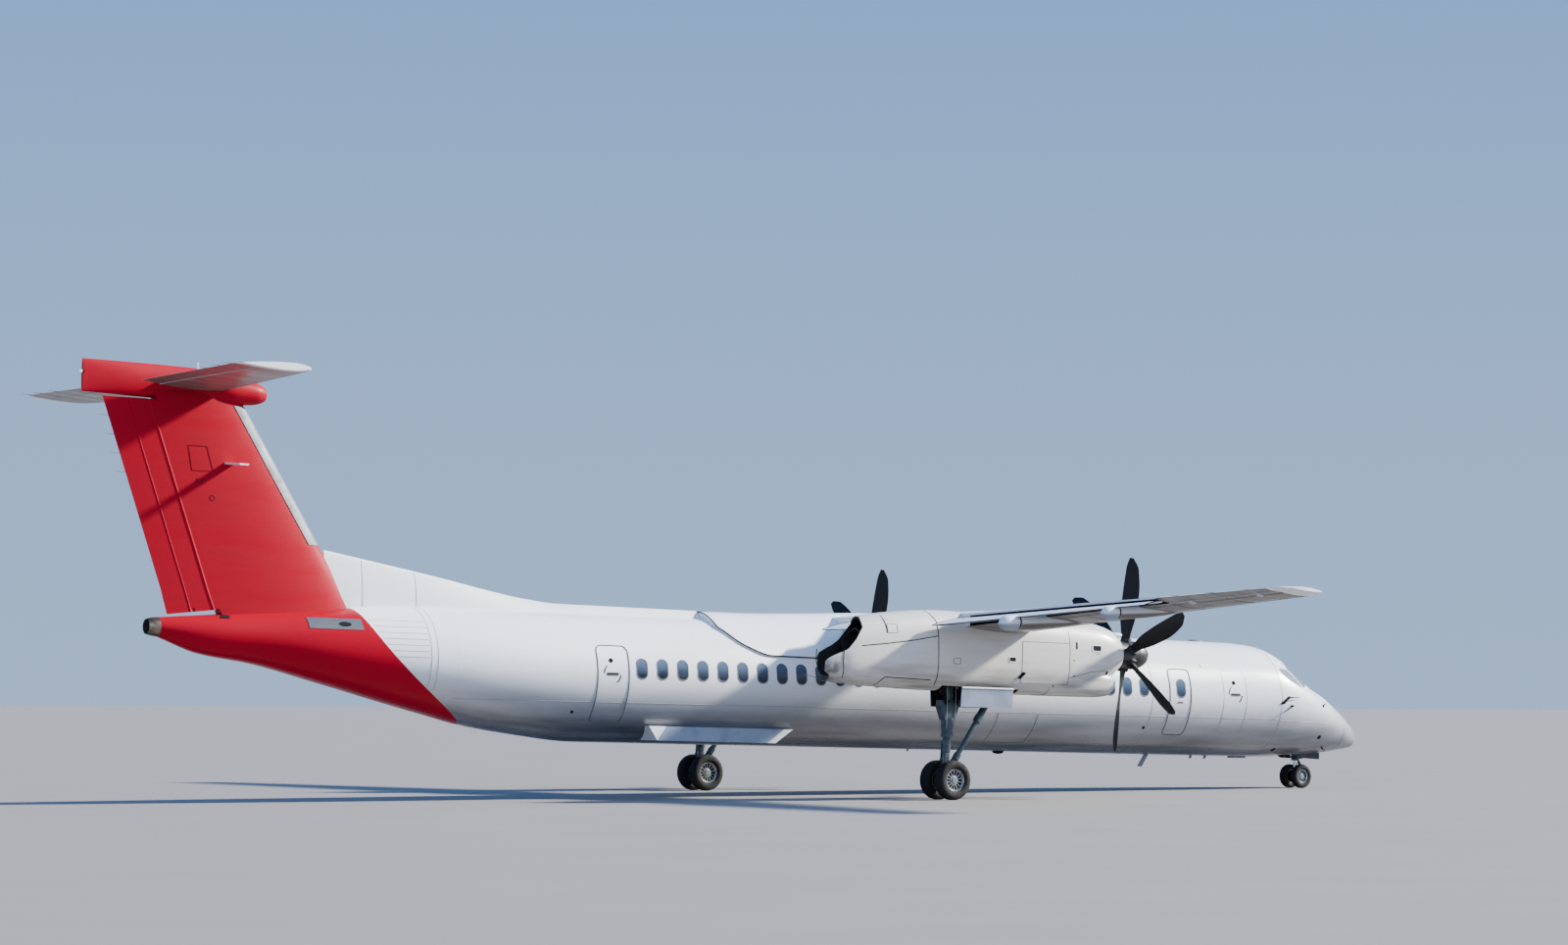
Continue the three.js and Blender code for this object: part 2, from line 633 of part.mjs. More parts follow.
function nacelles(wingTool) {
  for (const [side, sign] of [['left', 1], ['right', -1]]) {
    const y = sign * ENGINE_Y;
    const chin = loft(CHIN.map((row) => squareRing(row, y, 0, INNER)));
    const skin = join(loft(NACELLE.map((row) => squareRing(row, y))), chin);
    const hollow = loft(NACELLE.map((row) => squareRing(row, y, NACELLE_WALL, INNER)));
    const [holeRear, holeFront, holeR] = FRONT_HOLE;
    const hole = bar([holeRear, y, PROP_Z], [holeFront, y, PROP_Z], holeR, holeR, 32);
    const mouth = loft(MOUTH.map((row) => squareRing(row, y, 0, INNER)));
    const [bayRear, bayFront, bayHalf, ...bayZ] = BAY;
    const bay = box(bayRear, bayFront, y - bayHalf, y + bayHalf, ...bayZ);
    const shell = cut(skin, hollow, hole, mouth, bay, slab(PIPE_MOUTH, y - 800, y + 800), wingTool);
    add(AIRFRAME, `nacelle_${side}`, shell, PAINT.white);

    // Engine: one plain block with its mount arms and the propeller shaft
    const arms = ENGINE_ARM_X.map((x) => box(x - ENGINE_ARM.half, x + ENGINE_ARM.half, y - ENGINE_ARM.reach,
      y + ENGINE_ARM.reach, ENGINE_ARM.z0, ENGINE_ARM.z1));
    const room = loft(NACELLE.map((row) => squareRing(row, y, NACELLE_WALL + GAP, INNER)));
    const core = box(ENGINE_REAR, ENGINE_FRONT, y - ENGINE_HALF, y + ENGINE_HALF, ...ENGINE_Z);
    const block = join(core, ...arms).intersect(room);
    const shaftEnd = PROP_X + SOCKET_END - PLAY;
    const shaft = bar([ENGINE_FRONT - 50, y, PROP_Z], [shaftEnd, y, PROP_Z], SHAFT_R, SHAFT_R, 20);
    add(AIRFRAME, `engine_${side}`, join(block, shaft), PAINT.grey, 0.5, 0.6);

    // Jet pipe from the back of the engine to the slanted mouth
    const pipe = loft(PIPE.map(([x, , ...size]) => squareRing([x, ...size], y, 0, INNER)));
    const bore = loft(PIPE.map(([, x, ...size]) => squareRing([x, ...size], y, PIPE_WALL, INNER)));
    add(AIRFRAME, `jet_pipe_${side}`, cut(pipe, bore), PAINT.dark, 0.6, 0.7);
  }
}

// Propellers

// Blade rows: share of the radius, chord, thickness share, pitch in degrees, sweep back.
const BLADE = [
  [0.13, 170, 0.9, 52, 0],
  [0.22, 210, 0.5, 48, 0],
  [0.40, 330, 0.16, 38, 10],
  [0.65, 370, 0.08, 28, 20],
  [0.90, 290, 0.06, 22, -15],
  [1.0, 90, 0.06, 20, -80],
];

function blade() {
  return loft(BLADE.map(([share, chord, thickness, pitch, sweep]) => {
    const angle = THREE.MathUtils.degToRad(pitch);
    return section(thickness, 0, 1, 5).map(([s, t]) => {
      const across = (0.42 - s) * chord + sweep;
      const up = t * chord;
      return [across * Math.sin(angle) + up * Math.cos(angle),
        up * Math.sin(angle) - across * Math.cos(angle), share * PROP_R];
    });
  }));
}

// Spinner dome: distance ahead of the blades' plane, radius.
const DOME = [[HUB_FRONT + GAP, 0], [HUB_FRONT + GAP, HUB_R], [310, 283], [430, 235], [540, 150],
  [605, 62], [620, 0]];
const FIRST_BLADE = { left: 12, right: 8.6 }; // degrees from upright

function propellers() {
  const one = blade();
  for (const [side, sign] of [['left', 1], ['right', -1]]) {
    let solid = spun([[HUB_REAR, 0], [HUB_REAR, HUB_R], [HUB_FRONT, HUB_R], [HUB_FRONT, 0]], 20, [0, 0, 0]);
    for (let i = 0; i < BLADES; i += 1) {
      solid = solid.add(one.rotate([FIRST_BLADE[side] + i * 360 / BLADES, 0, 0]));
    }
    const open = HUB_REAR - 50;
    const hole = SHAFT_R + 3;
    const socket = spun([[open, 0], [open, hole], [SOCKET_END, hole], [SOCKET_END, 0]], 20, [0, 0, 0]);
    const place = [PROP_X, sign * ENGINE_Y, PROP_Z];
    add(AIRFRAME, `propeller_${side}`, cut(solid, socket).translate(place), PAINT.dark, 0.7);
    add(AIRFRAME, `spinner_${side}`, spun(DOME, 20, place), PAINT.dark, 0.4);
  }
}

// Cabin, its wing saddle and the airstair door

const DOOR = { x0: 11060, x1: 11820, z0: 1430, z1: 3080, wall: 60, seam: 6 };
const NOSE_BAY = [13750, 15300, 300, 1750]; // rear x, front x, half width, roof
const NOSE_DOOR = [13950, 15060, 1000, 1300, 20]; // rear x, front x, foot, top, thickness

// End cap of the tail cone: distance behind the cone, half width, half height.
const END_CAP = [[GAP, 190, 187], [110, 182, 178], [190, 165, 160], [225, 150, 145]];
const END_CAP_Z = 3018;

// Hinge of the airstair: where its line runs, and rows of from, to and whether the knuckle is the door's.
const STAIR_HINGE = { y: 966, z: 1428, radius: 12 };
const KNUCKLES = [[11150, 11210, true], [11210 + PLAY, 11270, false], [11610, 11670 - PLAY, false],
  [11670, 11730, true]];

function knuckles(onDoor) {
  const { y, z, radius } = STAIR_HINGE;
  return KNUCKLES.filter((row) => row[2] === onDoor).map(([x0, x1]) => join(
    bar([x0, y, z], [x1, y, z], radius, radius, 8),
    onDoor ? box(x0, x1, y - 26, y + 4, z + 3, z + 24) : box(x0, x1, y - 42, y, z - 10, z),
  ));
}

function airstair(tube) {
  const [x0, x1] = [DOOR.x0 + DOOR.seam, DOOR.x1 - DOOR.seam];
  const window = box(x0, x1, 400, 1500, DOOR.z0 + DOOR.seam, DOOR.z1 - DOOR.seam);
  const skin = cut(tube.intersect(window), fuselage(NOSE_X, 9000, -DOOR.wall));
  const treads = [1700, 1980, 2260, 2540, 2820].map((z) => {
    const depth = Math.sqrt(FUSE_R ** 2 - (z - AXIS_Z) ** 2) - DOOR.wall - 180;
    return box(x0 + 60, x1 - 60, depth, depth + 190, z - 14, z + 14);
  });
  const sides = [x0 + 60, x1 - 90].map((x) => box(x, x + 30, 700, 1400, 1560, 2940)
    .intersect(fuselage(NOSE_X, 9000, -30)).subtract(fuselage(NOSE_X, 9000, -DOOR.wall - 140)));
  const steps = treads.map((tread) => tread.intersect(fuselage(NOSE_X, 9000, -30)));
  return join(skin, ...steps, ...sides, ...knuckles(true));
}

function cabin(tube, wingTool) {
  const doorway = box(DOOR.x0, DOOR.x1, 420, 1500, DOOR.z0, DOOR.z1);
  add(AIRFRAME, 'fuselage', join(cut(tube, wingTool, doorway), ...knuckles(false)), PAINT.white);
  add(AIRFRAME, 'airstair_door', airstair(tube), PAINT.white);
  const over = cut(saddle(), fuselage(6000, -4000, GAP), wingTool);
  add(AIRFRAME, 'wing_saddle', over, PAINT.white);
  add(AIRFRAME, 'tail_cone', fuselage(TAIL_X - GAP, CAP_X), PAINT.red);
  const end = END_CAP.map(([back, half, high]) => {
    const ring = [];
    for (let i = 0; i < 18; i += 1) {
      ring.push([CAP_X - back, half * Math.cos(TAU * i / 18), END_CAP_Z + high * Math.sin(TAU * i / 18)]);
    }
    return ring;
  });
  add(AIRFRAME, 'tail_end_cap', loft(end), PAINT.dark);
}

// Windscreen band: its outline from the side, and how deep the glass and its frame go.
const SCREEN = [[13480, 3600], [14640, 2880], [14440, 2500], [13700, 2640], [13220, 2780], [13020, 2990],
  [13020, 3110], [13280, 3190], [13400, 3380]];
const SCREEN_DEPTH = 50;

function flightDeck() {
  const nose = fuselage(RADOME_X - GAP, NOSE_X + GAP);
  const deep = fuselage(RADOME_X + 200, NOSE_X - 200, -SCREEN_DEPTH);
  const deeper = fuselage(RADOME_X + 200, NOSE_X - 200, -SCREEN_DEPTH - GAP);
  const outline = slab(SCREEN, -1500, 1500);
  const band = cut(nose.intersect(outline), deep);
  const shape = SCREEN.map(([x, z]) => [x, z]);
  const wider = slab(swollen(shape, GAP), -1500, 1500);
  const pocket = cut(wider, deeper);
  const bay = box(NOSE_BAY[0], NOSE_BAY[1], -NOSE_BAY[2], NOSE_BAY[2], 900, NOSE_BAY[3]);
  add(AIRFRAME, 'flight_deck', cut(nose, pocket, bay), PAINT.white);
  add(AIRFRAME, 'windscreen', band, PAINT.dark, 0.1);
  add(AIRFRAME, 'radome', fuselage(16385, RADOME_X), PAINT.white);
  for (const [side, sign] of [['left', 1], ['right', -1]]) {
    const [x0, x1, z0, z1, thick] = NOSE_DOOR;
    const [y0, y1] = [NOSE_BAY[2] - GAP - thick, NOSE_BAY[2] - GAP].map((y) => sign * y);
    add(AIRFRAME, `nose_door_${side}`, box(x0, x1, Math.min(y0, y1), Math.max(y0, y1), z0, z1), PAINT.white);
  }
}

// Strake on each side of the lower cabin: outline seen from the side.
const STRAKE = [[-4460, 1400], [-860, 1400], [-1300, 1120], [-4230, 1110]];

function strakes() {
  for (const [side, sign] of [['left', 1], ['right', -1]]) {
    const block = sign > 0 ? slab(STRAKE, 700, 1060) : slab(STRAKE, -1060, -700);
    add(AIRFRAME, `strake_${side}`, cut(block, fuselage(0, -5500, GAP)), PAINT.grey);
  }
}

// Landing gear, level with the ground

function tyre(name, radius, width, hole, sides, place) {
  const shares = [[0.72, hole / radius], [1, 0.74], [0.94, 0.9], [0.55, 1]];
  const rows = shares.map(([across, out]) => [across * width / 2, out * radius]);
  const left = rows.map(([across, out]) => [-across, out]);
  const profile = [...left, ...rows.reverse(), left[0]];
  add(TURBOPROP, name, turned(profile, sides, place), PAINT.dark, 0.9);
}

// Two rims on one turning axle: rows of [y, radius], mirrored about the leg.
function wheelPair(twin, rim, width, axle, sides, place) {
  const half = width * 0.36;
  const outer = [[twin + half, rim], [twin + half * 0.4, rim * 0.85], [twin + half * 0.4, rim * 0.3],
    [twin + half * 0.9, rim * 0.24], [twin + half * 0.9, 0]];
  const inner = [[twin - half, axle], [twin - half, rim]];
  const row = [...inner, ...outer];
  return turned([...row.map(([y, r]) => [-y, r]).reverse(), ...row], sides, place);
}

const GEAR = 0x3a4a50;
const MAIN_CROSS = [[760, 2620], [2080, 2430]]; // cross tubes of the leg and the brace: x, z
const MAIN_CROSS_R = 70;
const LEG_HALF = 120;
const LEG_HEAD = [[430, 2300], [1030, 2300], [950, 2620], [570, 2620]];
const LEG_TAPER = [[430, 2300], [1030, 2300], [870, 1740], [560, 1740]];
const LINK_HALF = 35;
const UPPER_LINK = [[480, 1230], [560, 1260], [420, 850], [370, 860]];
const LOWER_LINK = [[370, 860], [420, 870], [600, 520], [560, 460]];

// Round bars of the main leg: x and z of one end, x and z of the other, radius.
const LEG_BARS = [
  [710, 1800, 690, 1120, 140],
  [695, 1180, MAIN_X + 5, 470, 85],
];
const HUB_EYE = [95, 120]; // half length, radius
const JACK_PAD = [60, 260]; // half width, height above the ground
const BRACE_FOOT = [860, 760];
const BRACE_LUG = [-40, 120, 62]; // from and to along the brace, radius
const BRACE_R = 55;

function mainGear(side, sign, room) {
  const y = sign * TRACK / 2;
  const hub = [MAIN_X, y, MAIN_TYRE_R];
  const rim = MAIN_TYRE_R * RIM;
  const wheels = wheelPair(MAIN_TWIN, rim, MAIN_TYRE_W, AXLE_R, 28, hub);
  add(TURBOPROP, `main_wheels_${side}`, wheels, PAINT.grey, 0.4, 0.7);
  for (const [where, offset] of [['inner', -MAIN_TWIN * sign], ['outer', MAIN_TWIN * sign]]) {
    const place = [MAIN_X, y + offset, MAIN_TYRE_R];
    tyre(`main_tyre_${side}_${where}`, MAIN_TYRE_R, MAIN_TYRE_W, rim + GAP, 28, place);
  }
  const tubes = MAIN_CROSS.map(([x, z]) => bar([x, y - 700, z], [x, y + 700, z], MAIN_CROSS_R));
  const cross = tubes.map((tube) => tube.intersect(room));
  const head = slab(LEG_HEAD, y - LEG_HALF, y + LEG_HALF);
  const taper = slab(LEG_TAPER, y - LEG_HALF, y + LEG_HALF);
  const bars = LEG_BARS.map(([x0, z0, x1, z1, radius]) => bar([x0, y, z0], [x1, y, z1], radius));
  const [eyeHalf, eyeR] = HUB_EYE;
  const eye = bar([MAIN_X, y - eyeHalf, MAIN_TYRE_R], [MAIN_X, y + eyeHalf, MAIN_TYRE_R], eyeR);
  const links = [UPPER_LINK, LOWER_LINK].map((outline) => slab(outline, y - LINK_HALF, y + LINK_HALF));
  const linkLug = box(540, 620, y - LINK_HALF, y + LINK_HALF, 1180, 1260);
  const [padHalf, padZ] = JACK_PAD;
  const pad = box(MAIN_X - padHalf, MAIN_X + padHalf, y - padHalf, y + padHalf, padZ, MAIN_TYRE_R);
  const rise = MAIN_CROSS[1].map((value, i) => value - BRACE_FOOT[i]);
  const run = Math.hypot(...rise);
  const along = (d) => [BRACE_FOOT[0] + rise[0] * d / run, y, BRACE_FOOT[1] + rise[1] * d / run];
  const [lugFrom, lugTo, lugR] = BRACE_LUG;
  const lug = join(bar([MAIN_X + 10, y, 640], along(90), 60), bar(along(lugFrom), along(lugTo), lugR));
  const hole = AXLE_R + 1;
  const bore = bar([MAIN_X, y - 200, MAIN_TYRE_R], [MAIN_X, y + 200, MAIN_TYRE_R], hole, hole, 28);
  const leg = cut(join(cross[0], head, taper, ...bars, eye, ...links, linkLug, pad, lug), bore);
  add(TURBOPROP, `main_leg_${side}`, leg, GEAR, 0.5, 0.4);
  const brace = join(bar(along(lugTo + GAP), along(run), BRACE_R), cross[1]);
  add(TURBOPROP, `drag_brace_${side}`, brace, GEAR, 0.5, 0.4);
}

const STEER_Z = 720; // where the turning part of the nose leg starts
const NOSE_CROSS = [[0, 1330], [-560, 1300]]; // cross tubes: distance ahead of the leg, height
const NOSE_CROSS_R = 45;

// Outline of the nose leg's links: distance ahead of the leg, height.
const NOSE_LINKS = [[70, 690], [190, 520], [60, 330], [30, 380], [140, 520], [50, 645]];

function noseGear() {
  const hub = [NOSE_X_WHEEL, 0, NOSE_TYRE_R];
  const rim = NOSE_TYRE_R * RIM;
  const wheels = wheelPair(NOSE_TWIN, rim, NOSE_TYRE_W, NOSE_AXLE_R, 20, hub);
  add(TURBOPROP, 'nose_wheels', wheels, PAINT.grey, 0.4, 0.7);
  for (const [side, sign] of [['left', 1], ['right', -1]]) {
    const place = [NOSE_X_WHEEL, sign * NOSE_TWIN, NOSE_TYRE_R];
    tyre(`nose_tyre_${side}`, NOSE_TYRE_R, NOSE_TYRE_W, rim + GAP, 20, place);
  }
  const wall = NOSE_BAY[2] - GAP;
  const cross = NOSE_CROSS.map(([ahead, z]) => {
    const x = NOSE_X_WHEEL + ahead;
    return bar([x, -wall, z], [x, wall, z], NOSE_CROSS_R);
  });
  const post = bar([NOSE_X_WHEEL, 0, 1380], [NOSE_X_WHEEL, 0, STEER_Z], 85);
  const [back, top] = NOSE_CROSS[1];
  const stay = bar([NOSE_X_WHEEL + back, 0, top], [NOSE_X_WHEEL, 0, 860], 40);
  add(TURBOPROP, 'nose_leg', join(post, stay, ...cross), GEAR, 0.5, 0.4);
  const cuff = bar([NOSE_X_WHEEL, 0, STEER_Z - GAP], [NOSE_X_WHEEL, 0, 640], 95);
  const piston = bar([NOSE_X_WHEEL, 0, 650], [NOSE_X_WHEEL, 0, 300], 52);
  const eye = bar([NOSE_X_WHEEL, -80, NOSE_TYRE_R], [NOSE_X_WHEEL, 80, NOSE_TYRE_R], 75);
  const links = slab(NOSE_LINKS.map(([ahead, z]) => [NOSE_X_WHEEL + ahead, z]), -30, 30);
  const towLug = box(NOSE_X_WHEEL + 40, NOSE_X_WHEEL + 130, -45, 45, 235, 315);
  const pad = box(NOSE_X_WHEEL - 45, NOSE_X_WHEEL + 45, -45, 45, 180, 275);
  const hole = NOSE_AXLE_R + 1;
  const bore = bar([NOSE_X_WHEEL, -200, NOSE_TYRE_R], [NOSE_X_WHEEL, 200, NOSE_TYRE_R], hole, hole, 20);
  add(TURBOPROP, 'nose_steering', cut(join(cuff, piston, eye, links, towLug, pad), bore), GEAR, 0.5, 0.4);
}

// Doors that hang open beside the main legs: rear x, front x, foot, top, distance from the leg.
const MAIN_DOOR = [620, 1960, 1900, 2600, 500];

function mainDoors() {
  const [x0, x1, z0, z1, out] = MAIN_DOOR;
  for (const [side, sign] of [['left', 1], ['right', -1]]) {
    const y = sign * ENGINE_Y;
    const skin = loft(NACELLE.map((row) => squareRing(row, y, -GAP)));
    for (const [where, way] of [['inner', -sign], ['outer', sign]]) {
      const edge = [y + way * out, y + way * (out + 24)].sort((a, b) => a - b);
      add(AIRFRAME, `main_door_${side}_${where}`, cut(box(x0, x1, ...edge, z0, z1), skin), PAINT.white);
    }
  }
}

const cabinTube = fuselage(NOSE_X, TAIL_X);
const wingYs = [WING_JOINT_Y + 600, WING_JOINT_Y, WING_KINK_Y];
const wingTool = wingPanel([...wingYs.map((y) => -y), ...wingYs.reverse()], 0, WING_SPAR, GAP);
wing(wingTool);
cabin(cabinTube, wingTool);
flightDeck();
strakes();
tail(fuselage(NOSE_X, TAIL_X, GAP));
nacelles(wingTool);
propellers();
mainDoors();
for (const [side, sign] of [['left', 1], ['right', -1]]) {
  const inside = loft(NACELLE.map((row) => squareRing(row, sign * ENGINE_Y, NACELLE_WALL + GAP, INNER)));
  mainGear(side, sign, tipped(inside));
}
noseGear();

export default TURBOPROP;
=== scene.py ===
import math

import bmesh
import bpy
from bpy.props import FloatProperty, FloatVectorProperty, PointerProperty
from mathutils import Matrix, Vector


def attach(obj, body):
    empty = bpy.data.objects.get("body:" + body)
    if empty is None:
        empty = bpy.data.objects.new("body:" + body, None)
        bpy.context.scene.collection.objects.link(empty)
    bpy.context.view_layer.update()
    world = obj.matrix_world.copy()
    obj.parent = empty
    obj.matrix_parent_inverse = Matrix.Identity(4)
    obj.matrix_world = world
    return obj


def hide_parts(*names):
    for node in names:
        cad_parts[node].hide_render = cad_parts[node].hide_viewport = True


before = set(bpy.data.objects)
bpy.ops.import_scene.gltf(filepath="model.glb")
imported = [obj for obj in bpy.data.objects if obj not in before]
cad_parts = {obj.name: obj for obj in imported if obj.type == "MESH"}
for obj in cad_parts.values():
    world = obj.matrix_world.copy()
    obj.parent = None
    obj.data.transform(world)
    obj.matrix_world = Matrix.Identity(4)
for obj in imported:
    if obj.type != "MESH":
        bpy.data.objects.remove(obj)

bl_info = {
    "name": "Turboprop airliner",
    "version": (1, 0, 0),
    "blender": (4, 5, 0),
    "location": "View3D > Sidebar > Airliner",
    "description": "Skins, details, finishes and studio for a high-wing turboprop airliner",
    "category": "Object",
}

# Metres. The airframe is drawn level, then tipped nose-down by PITCH. The gear is level with the ground.
PITCH = 0.022
TIP = Matrix.Rotation(PITCH, 4, "Y")
TAU = 2 * math.pi
LEFT, RIGHT = 1, -1
SIDES = (("left", LEFT), ("right", RIGHT))

# Fuselage
NOSE_TIP = 16.40
RADOME_X = 15.42
NOSE_X = 12.90
TAIL_X = -8.90
CAP_X = -14.88
HULL_RING = 96
AXIS_Z = 2.334
SKIN_R = 1.310
# The red's front edge: x = a z z + b z + c, which sweeps down and forward
RED_EDGE = (0.3697, -2.9395, -5.063)
# The hull's lower darkening, painted shade mixed with road grime, starts at the first height and is full at
# the second
FILM_AND_SHADE_TOP, FILM_AND_SHADE_FULL = 2.85, 1.20

# Engines, propellers and wing
ENGINE_Y = 4.40
PROP_X = 5.40
PROP_Z = 3.105
PROP_R = 2.055
HUB_R = 0.30
BLADES = 6
NACELLE_WALL = 0.045
WING_KINK_Y = 4.40
WING_JOINT_Y = 5.05
WING_TIP_Y = 14.21
TIP_CHORD_Y = WING_TIP_Y - 0.13
WING_SPAR = 0.72
FLAP_Y = (5.07, 10.90)
FLAP_INNER_Y = (1.42, 3.78)
AILERON_Y = (10.96, 13.82)

# Tail
FIN_FOOT = 3.54
FIN_TOP = 7.49
STAB_Z = 7.64
RUDDER_Z = (3.34, 7.31)

# Finishes by their plain names
FINISH = {}


# Small tools

def linear(code):
    """An sRGB hex colour as linear red, green, blue and alpha."""
    parts = [int(code[i:i + 2], 16) / 255 for i in (1, 3, 5)]
    return (*(c / 12.92 if c <= 0.04045 else ((c + 0.055) / 1.055) ** 2.4 for c in parts), 1.0)


def hex_code(colour):
    return "#" + "".join(f"{round(c * 255):02X}" for c in colour)


def clamp(value, low, high):
    return max(low, min(high, value))


def steps(first, last, count):
    """Even stations, with both ends."""
    return [first + (last - first) * i / count for i in range(count + 1)]


def eased(rows, at):
    """The row at a station, on smooth lines through a rising table that never overshoot it."""
    last = len(rows) - 1
    k = clamp(sum(row[0] <= at for row in rows) - 1, 0, last - 1)
    run = rows[k + 1][0] - rows[k][0]
    t = clamp((at - rows[k][0]) / run, 0, 1)

    def slope(i, c):
        rises = [(rows[j + 1][c] - rows[j][c]) / (rows[j + 1][0] - rows[j][0])
                 for j in (i - 1, i) if 0 <= j < last]
        if len(rises) == 1:
            return rises[0]
        before, after = rises
        return 0 if before * after <= 0 else 2 * before * after / (before + after)

    out = [at]
    for c in range(1, len(rows[0])):
        a, b = rows[k][c], rows[k + 1][c]
        out.append(a * (1 + 2 * t) * (1 - t) ** 2 + b * t * t * (3 - 2 * t)
                   + run * (slope(k, c) * t * (1 - t) ** 2 - slope(k + 1, c) * t * t * (1 - t)))
    return out


def straight(rows, at):
    """The row at a station, on straight lines between the table's rows."""
    last = len(rows) - 1
    k = clamp(sum(row[0] <= at for row in rows) - 1, 0, last - 1)
    t = clamp((at - rows[k][0]) / (rows[k + 1][0] - rows[k][0]), 0, 1)
    return [a + t * (b - a) for a, b in zip(rows[k], rows[k + 1])]


def rounded(u0, u1, v0, v1, radius, corner=6):
    """Outline of a rectangle with round corners, as pairs."""
    path = []
    for u, v, start in ((u1, v1, 0), (u0, v1, 90), (u0, v0, 180), (u1, v0, 270)):
        cu = u - radius if u == u1 else u + radius
        cv = v - radius if v == v1 else v + radius
        for i in range(corner + 1):
            a = math.radians(start + 90 * i / corner)
            path.append((cu + radius * math.cos(a), cv + radius * math.sin(a)))
    return path


def ellipse(u, v, half_u, half_v, count=16):
    """Outline of an ellipse, as pairs."""
    return [(u + half_u * math.cos(a), v + half_v * math.sin(a)) for a in steps(0, TAU, count)[:-1]]


def dense(path, closed=True, most=0.08):
    """Adds points so that no stretch of an outline is long."""
    ends = path[1:] + path[:1] if closed else path[1:]
    out = []
    for (u, v), (nu, nv) in zip(path, ends):
        count = max(1, math.ceil(math.hypot(nu - u, nv - v) / most))
        out += [(u + (nu - u) * k / count, v + (nv - v) * k / count) for k in range(count)]
    return out if closed else out + [path[-1]]


def new_object(name, data):
    thing = bpy.data.objects.new(name, data)
    bpy.context.scene.collection.objects.link(thing)
    return thing


def settled(thing):
    """The evaluated mesh of an object with its modifiers applied."""
    graph = bpy.context.evaluated_depsgraph_get()
    graph.update()
    return bpy.data.meshes.new_from_object(thing.evaluated_get(graph), depsgraph=graph)


def shade(mesh, sharp=32):
    mesh.polygons.foreach_set("use_smooth", [True] * len(mesh.polygons))
    mesh.set_sharp_from_angle(angle=math.radians(sharp))
    mesh.update()


def carve(thing, *cutters, way="DIFFERENCE", sharp=32):
    """Cuts solids out of a piece, then removes the cutters."""
    for cutter in cutters:
        mod = thing.modifiers.new("cut", "BOOLEAN")
        mod.operation, mod.solver, mod.object = way, "EXACT", cutter
        mod.material_mode = "TRANSFER"
    mesh = settled(thing)
    thing.modifiers.clear()
    thing.data = mesh
    shade(mesh, sharp)
    for cutter in cutters:
        bpy.data.objects.remove(cutter)
    return thing


